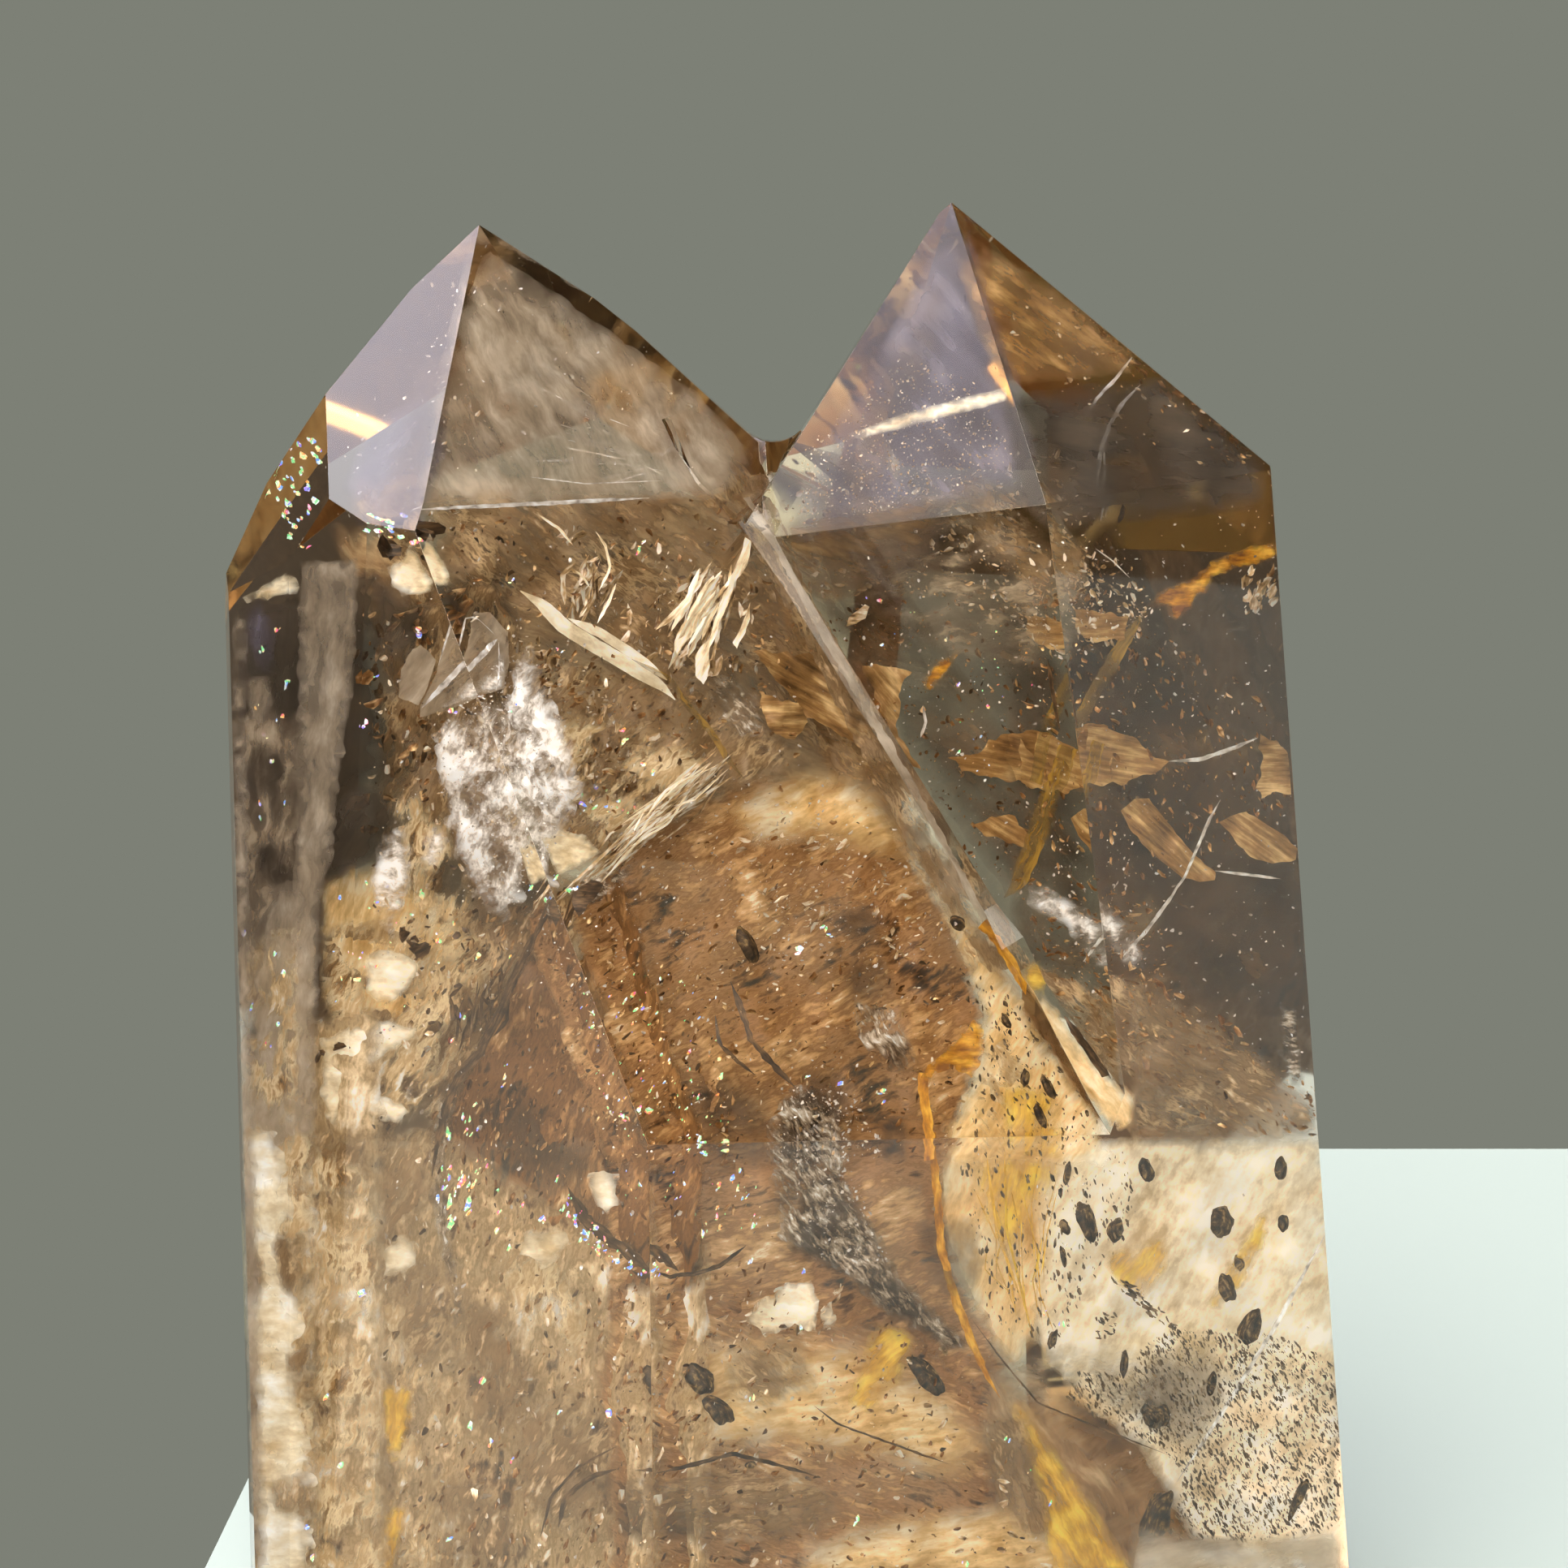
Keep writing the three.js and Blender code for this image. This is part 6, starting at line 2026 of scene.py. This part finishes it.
@dataclass
class DarkCracks(Inclusion):
    """Dark crack edges: the dome's rim, its splits, the lens ring and small flecks."""

    name: str = "dark_cracks"
    finish: GrownFinish = DARK_CRACK
    seed: int = 34
    patches: tuple[Patch, ...] = (
        Ribbon(Facet.LEFT_BROAD, ((690, 1112), (672, 1130), (657, 1156), (635, 1200), (610, 1262),
            (591, 1297), (566, 1325), (551, 1359), (538, 1412), (532, 1450)), 0.42, (3.0, 3.0),
            ragged=0.3),
        Ribbon(Facet.LEFT_BROAD, ((683, 1093), (664, 1140), (650, 1172), (625, 1226), (603, 1262),
            (588, 1290)), 0.14, (2.6, 2.6), ragged=0.3),
        Ribbon(Facet.LEFT_BROAD, ((700, 1463), (719, 1501), (750, 1526), (781, 1548), (803, 1569)), 0.6,
            (3.0, 3.0), ragged=0.35),
        Ribbon(Facet.LOWER_BROAD, ((806, 1566), (825, 1573), (856, 1569), (887, 1560), (919, 1535)),
            0.22, (3.0, 3.0), ragged=0.35),
        Ribbon(Facet.LEANING, ((881, 1250), (887, 1287), (903, 1303), (931, 1325)), 0.2, (3.5, 3.5),
            ragged=0.4),
        Ribbon(Facet.LEANING, ((900, 1209), (916, 1250), (925, 1281), (947, 1306), (981, 1341)), 0.3,
            (3.5, 3.5), ragged=0.4),
        Sheet(Facet.LEANING, ((706, 1122), (704, 1100), (729, 1084), (746, 1087), (729, 1110),
            (712, 1130)), depth=2.4, relief=0.2, soft=0, cell=6, ragged=3),
        Ribbon(Facet.LEFT_BROAD, ((666, 1894), (679, 1844), (713, 1807), (760, 1782)), 0.16,
            (2.0, 2.0)),
        Ribbon(Facet.LEFT_BROAD, ((688, 1882), (697, 1844), (729, 1819), (760, 1810)), 0.28, (2.2, 2.2),
            ragged=0.3),
        Ribbon(Facet.LOWER_BROAD, ((806, 1816), (856, 1804), (903, 1791), (955, 1804), (1006, 1819)),
            0.2, (2.5, 2.5), ragged=0.4),
        Ribbon(Facet.LOWER_BROAD, ((1003, 1732), (1031, 1754), (1091, 1776), (1169, 1804)), 0.12,
            (3.0, 3.0), ragged=0.4),
        Ribbon(Facet.LOWER_BROAD, ((1195, 1622), (1231, 1671), (1279, 1729), (1344, 1755),
            (1440, 1793)), 0.09, (3.0, 3.0), ragged=0.4),
        Ribbon(Facet.RIGHT_INNER, ((1291, 812), (1297, 853), (1306, 900)), 0.2, (2.0, 2.0)),
        Ribbon(Facet.RIGHT_BROAD, ((1325, 1259), (1350, 1294), (1387, 1347)), 0.4, (2.5, 2.5)),
        Ribbon(Facet.RIGHT_CROWN, ((1381, 606), (1383, 618), (1380, 630)), 0.3, (2.0, 2.0)),
        Spray(Facet.LEFT_BROAD, ((572, 1203), (640, 1160)), ((560, 1330), (604, 1270)), 16, 0.16,
            (3.2, 4.5), stray=6),
        Specks(Facet.LEFT_BROAD, ((476, 672), (484, 680), (508, 1160), (516, 1170), (500, 1150),
            (420, 1288), (398, 1300), (562, 1250), (454, 1020), (446, 990)), (2.5, 4.0), 3, (0.3, 1.3),
            1.8, 60, 60, flash=0.0),
        Drift(Facet.LEANING, ((860, 1150), (1150, 1180), (1190, 1400), (820, 1410), (760, 1200)),
            (4.0, 6.5), 130, (0.08, 0.5), 2.4, 20, 60, flash=0.0),
        Drift(Facet.LEFT_BROAD, ((560, 1360), (700, 1200), (790, 1400), (800, 1560), (580, 1540)),
            (3.0, 6.0), 160, (0.08, 0.45), 2.4, 70, 40, flash=0.0),
        Drift(Facet.LEFT_BROAD, ((458, 760), (560, 760), (700, 1000), (600, 1200), (458, 1440)),
            (2.5, 5.5), 240, (0.1, 0.6), 2.0, 60, 70, flash=0.0),
        Drift(Facet.LEANING, ((520, 640), (900, 640), (1000, 900), (760, 1040), (640, 860)), (3.0, 6.0),
            240, (0.08, 0.5), 2.2, 30, 80, flash=0.0),
        Drift(Facet.LOWER_BROAD, ((810, 1600), (1180, 1680), (1300, 1932), (810, 1932)), (3.0, 6.0),
            120, (0.08, 0.5), 2.4, 10, 60, flash=0.0),
        Drift(Facet.LEFT_BROAD, ((458, 1450), (800, 1580), (800, 1932), (458, 1932)), (2.5, 5.5), 120,
            (0.1, 0.6), 2.4, 75, 40, flash=0.0),
    )


@dataclass
class DiagonalFeather(Inclusion):
    """The smooth curved blade that runs down from the upper left of the leaning facet."""

    name: str = "diagonal_feather"
    # The blade's cream is a painted reflection of the floor, as in the cream films.
    finish: GrownFinish = CREAM_FILM_PAINTED_REFLECTION
    seed: int = 18
    patches: tuple[Patch, ...] = (
        Ribbon(Facet.LEANING, ((641, 728), (668, 745), (695, 772), (735, 797), (775, 820), (815, 845),
            (832, 862)), 0.75, (3.0, 4.0), roll=0.8, ragged=0.05),
        Ribbon(Facet.LEANING, ((700, 762), (740, 780), (780, 806), (822, 838)), 0.5, (3.2, 4.0),
            roll=-0.6, ragged=0.05),
    )


@dataclass
class PolishedCrystal:
    """The crystal's own surface: flat facets with edges softened by polishing.

    Corners nearer than the weld are one, faces that turn by no more than flat within are one
    facet, and edges sharper than sharp from are softened.
    """

    node: bpy.types.Object
    finish: SmokyQuartz = SmokyQuartz()
    edge_softness: float = 0.22 * MM
    edge_steps: int = 2
    weld: float = 0.02 * MM
    flat_within: float = math.radians(1)
    sharp_from: float = math.radians(4)
    edge_profile: float = 0.5
    facet_weight: int = 100
    name: str = "polished_crystal"

    def build(self) -> bpy.types.Object:
        """Softens the edges of a copy of the solid and dresses it.

        Returns:
            The finished piece.
        """
        shape = bmesh.new()
        shape.from_mesh(self.node.data)
        bmesh.ops.remove_doubles(shape, verts=shape.verts, dist=self.weld)
        bmesh.ops.dissolve_limit(
            shape, angle_limit=self.flat_within, verts=shape.verts, edges=shape.edges,
        )
        sharp = [e for e in shape.edges if e.calc_face_angle(0) > self.sharp_from]
        bmesh.ops.bevel(
            shape, geom=sharp, offset=self.edge_softness, segments=self.edge_steps,
            profile=self.edge_profile, affect="EDGES", clamp_overlap=True,
        )
        bmesh.ops.triangulate(shape, faces=shape.faces)
        mesh = bpy.data.meshes.new(self.name)
        shape.to_mesh(mesh)
        shape.free()
        mesh.shade_smooth()
        piece = bpy.data.objects.new(self.name, mesh)
        bpy.context.scene.collection.objects.link(piece)
        weigh = piece.modifiers.new("flat_facets", "WEIGHTED_NORMAL")
        weigh.weight = self.facet_weight
        weigh.keep_sharp = False
        mesh.materials.append(self.finish.material())
        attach(piece, "root")
        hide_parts(CRYSTAL)
        return piece


@dataclass(frozen=True)
class Glow:
    """A soft bright patch of the surround, its place and sizes in degrees."""

    way: float
    rise: float
    reach: float
    softness: float
    code: str
    strength: float

    @property
    def direction(self) -> Vector:
        """The way to the patch's middle, where its own way counts from the front to the right.

        Returns:
            The direction, of unit length.
        """
        way, rise = math.radians(self.way), math.radians(self.rise)
        flat = math.cos(rise)
        return Vector((math.sin(way) * flat, -math.cos(way) * flat, math.sin(rise)))


WINDOW_LIGHT = Glow(way=-122, rise=47, reach=10, softness=22, code="#F2EEFF", strength=4.6)
LOW_WINDOW = Glow(way=-72, rise=31, reach=12, softness=8, code="#FFF4E2", strength=1.2)
FRONT_FILL = Glow(way=-22, rise=46, reach=26, softness=14, code="#FFF6EA", strength=8.0)
FLOOR_GLEAM = Glow(way=-80, rise=-24, reach=9, softness=6, code="#FFF3DC", strength=1.2)


@dataclass
class Studio:
    """The pale floor, the soft light and the plain surround.

    The wall shows behind the crystal: between the sides, where a direction's share across
    rises from the first value to the second, and past the front by its share ahead.
    """

    floor_code: str = "#A4B3B1"
    wall_code: str = "#7D8076"
    dusk_code: str = "#4C4339"
    glows: tuple[Glow, ...] = (WINDOW_LIGHT, LOW_WINDOW, FRONT_FILL, FLOOR_GLEAM)
    floor_left: float = -36.5 * MM
    floor_right: float = 600 * MM
    floor_front: float = -500 * MM
    floor_back: float = 85 * MM
    floor_gap: float = 0.03 * MM
    floor_roughness: float = 0.6
    wall_sides: tuple[float, float] = (0.36, 0.46)
    wall_front: tuple[float, float] = (0.0, 0.4)

    def build(self) -> None:
        """Builds the floor and the surround."""
        self.add_floor()
        self.add_surround()

    def add_floor(self) -> None:
        """Lays a plain floor that ends a hand's breadth behind the crystal and beside it."""
        mesh = bpy.data.meshes.new("floor")
        corners = [(x, y, -self.floor_gap) for x, y in (
            (self.floor_left, self.floor_front), (self.floor_right, self.floor_front),
            (self.floor_right, self.floor_back), (self.floor_left, self.floor_back),
        )]
        mesh.from_pydata(corners, [], [(0, 1, 2, 3)])
        floor = bpy.data.objects.new("floor", mesh)
        bpy.context.scene.collection.objects.link(floor)
        paint = bpy.data.materials.new("pale_matt_paint")
        paint.use_nodes = True
        tree = paint.node_tree
        tree.nodes.clear()
        shader = add_node(
            tree, "ShaderNodeBsdfPrincipled", Base_Color=linear(self.floor_code),
            Roughness=self.floor_roughness,
        )
        add_node(tree, "ShaderNodeOutputMaterial", Surface=shader.outputs[0])
        mesh.materials.append(paint)

    def add_surround(self) -> None:
        """Surrounds the scene with a grey-green wall behind, dusk in front and soft windows."""
        world = bpy.data.worlds.new("surround")
        bpy.context.scene.world = world
        world.use_nodes = True
        tree = world.node_tree
        tree.nodes.clear()
        way = add_node(tree, "ShaderNodeTexCoord")
        parts = add_node(tree, "ShaderNodeSeparateXYZ", Vector=way.outputs["Generated"])
        beside = add_node(tree, "ShaderNodeMath", operation="ABSOLUTE", i0=parts.outputs["X"])
        shown = add_node(
            tree, "ShaderNodeMapRange", interpolation_type="SMOOTHSTEP",
            Value=beside.outputs[0], From_Min=self.wall_sides[0], From_Max=self.wall_sides[1],
            To_Min=1.0, To_Max=0.0,
        )
        ahead = add_node(
            tree, "ShaderNodeMapRange", interpolation_type="SMOOTHSTEP",
            Value=parts.outputs["Y"], From_Min=self.wall_front[0], From_Max=self.wall_front[1],
        )
        behind = add_node(
            tree, "ShaderNodeMath", operation="MULTIPLY", i0=shown.outputs[0], i1=ahead.outputs[0],
        )
        light = add_node(
            tree, "ShaderNodeMix", data_type="RGBA", i0=behind.outputs[0],
            i6=linear(self.dusk_code), i7=linear(self.wall_code),
        ).outputs[2]
        for glow in self.glows:
            toward = add_node(
                tree, "ShaderNodeVectorMath", operation="DOT_PRODUCT",
                i0=way.outputs["Generated"], i1=glow.direction,
            )
            share = add_node(
                tree, "ShaderNodeMapRange", interpolation_type="SMOOTHSTEP",
                Value=toward.outputs["Value"],
                From_Min=math.cos(math.radians(glow.reach + glow.softness)),
                From_Max=math.cos(math.radians(glow.reach)), To_Max=glow.strength,
            )
            lit = add_node(
                tree, "ShaderNodeMix", data_type="RGBA", blend_type="MULTIPLY", i0=1.0,
                i6=linear(glow.code), i7=share.outputs[0],
            )
            light = add_node(
                tree, "ShaderNodeMix", data_type="RGBA", blend_type="ADD", i0=1.0,
                i6=light, i7=lit.outputs[2],
            ).outputs[2]
        shade = add_node(tree, "ShaderNodeBackground", Color=light, Strength=1.0)
        add_node(tree, "ShaderNodeOutputWorld", Surface=shade.outputs[0])
        world.cycles.sampling_method = "NONE"


def set_colour_and_light_paths() -> None:
    """Sets plain colours and enough light bounces for a clear solid."""
    scene = bpy.context.scene
    scene.view_settings.view_transform = "Standard"
    scene.cycles.max_bounces = 11
    scene.cycles.transmission_bounces = 11
    scene.cycles.glossy_bounces = 5
    scene.cycles.diffuse_bounces = 1
    scene.cycles.transparent_max_bounces = 14
    scene.cycles.caustics_reflective = True
    scene.cycles.caustics_refractive = True
    scene.cycles.use_denoising = True


def main() -> None:
    """Builds every piece in order and reports it."""
    logging.basicConfig(level=logging.INFO, format="%(name)s: %(message)s")
    noise.seed_set(WANDER_SEED)
    view = Viewpoint()
    view.read_solid(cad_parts[CRYSTAL])
    view.add_camera()
    Studio().build()
    set_colour_and_light_paths()
    piece = PolishedCrystal(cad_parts[CRYSTAL]).build()
    LOG.info("%s has %d faces", piece.name, len(piece.data.polygons))
    for kind in (
        BrushedDome, DomeFlank, HoneyFilms, LilacPaintedReflections, BrownCrumple, CreamCrumple, DeepFolds,
        FoldBlots, MilkyClouds, TanMists, GreyMists, PaleHazes, SmokeLayers, DeepSmoke, GoldenHaze,
        CrushedZones, CreamFilms, GoldenLeaves, MustardTrail, DarkCracks,
        PaleBlades, IronRust, IronStains, CreamFeathers, GoldenFlakes, SilverGlitter, RainbowGlints,
        DarkSeeds, EtchRows, PaleLines, DiagonalFeather,
    ):
        piece = kind(view).build()
        LOG.info("%s has %d faces", piece.name, len(piece.data.polygons))


if __name__ == "__main__":
    main()
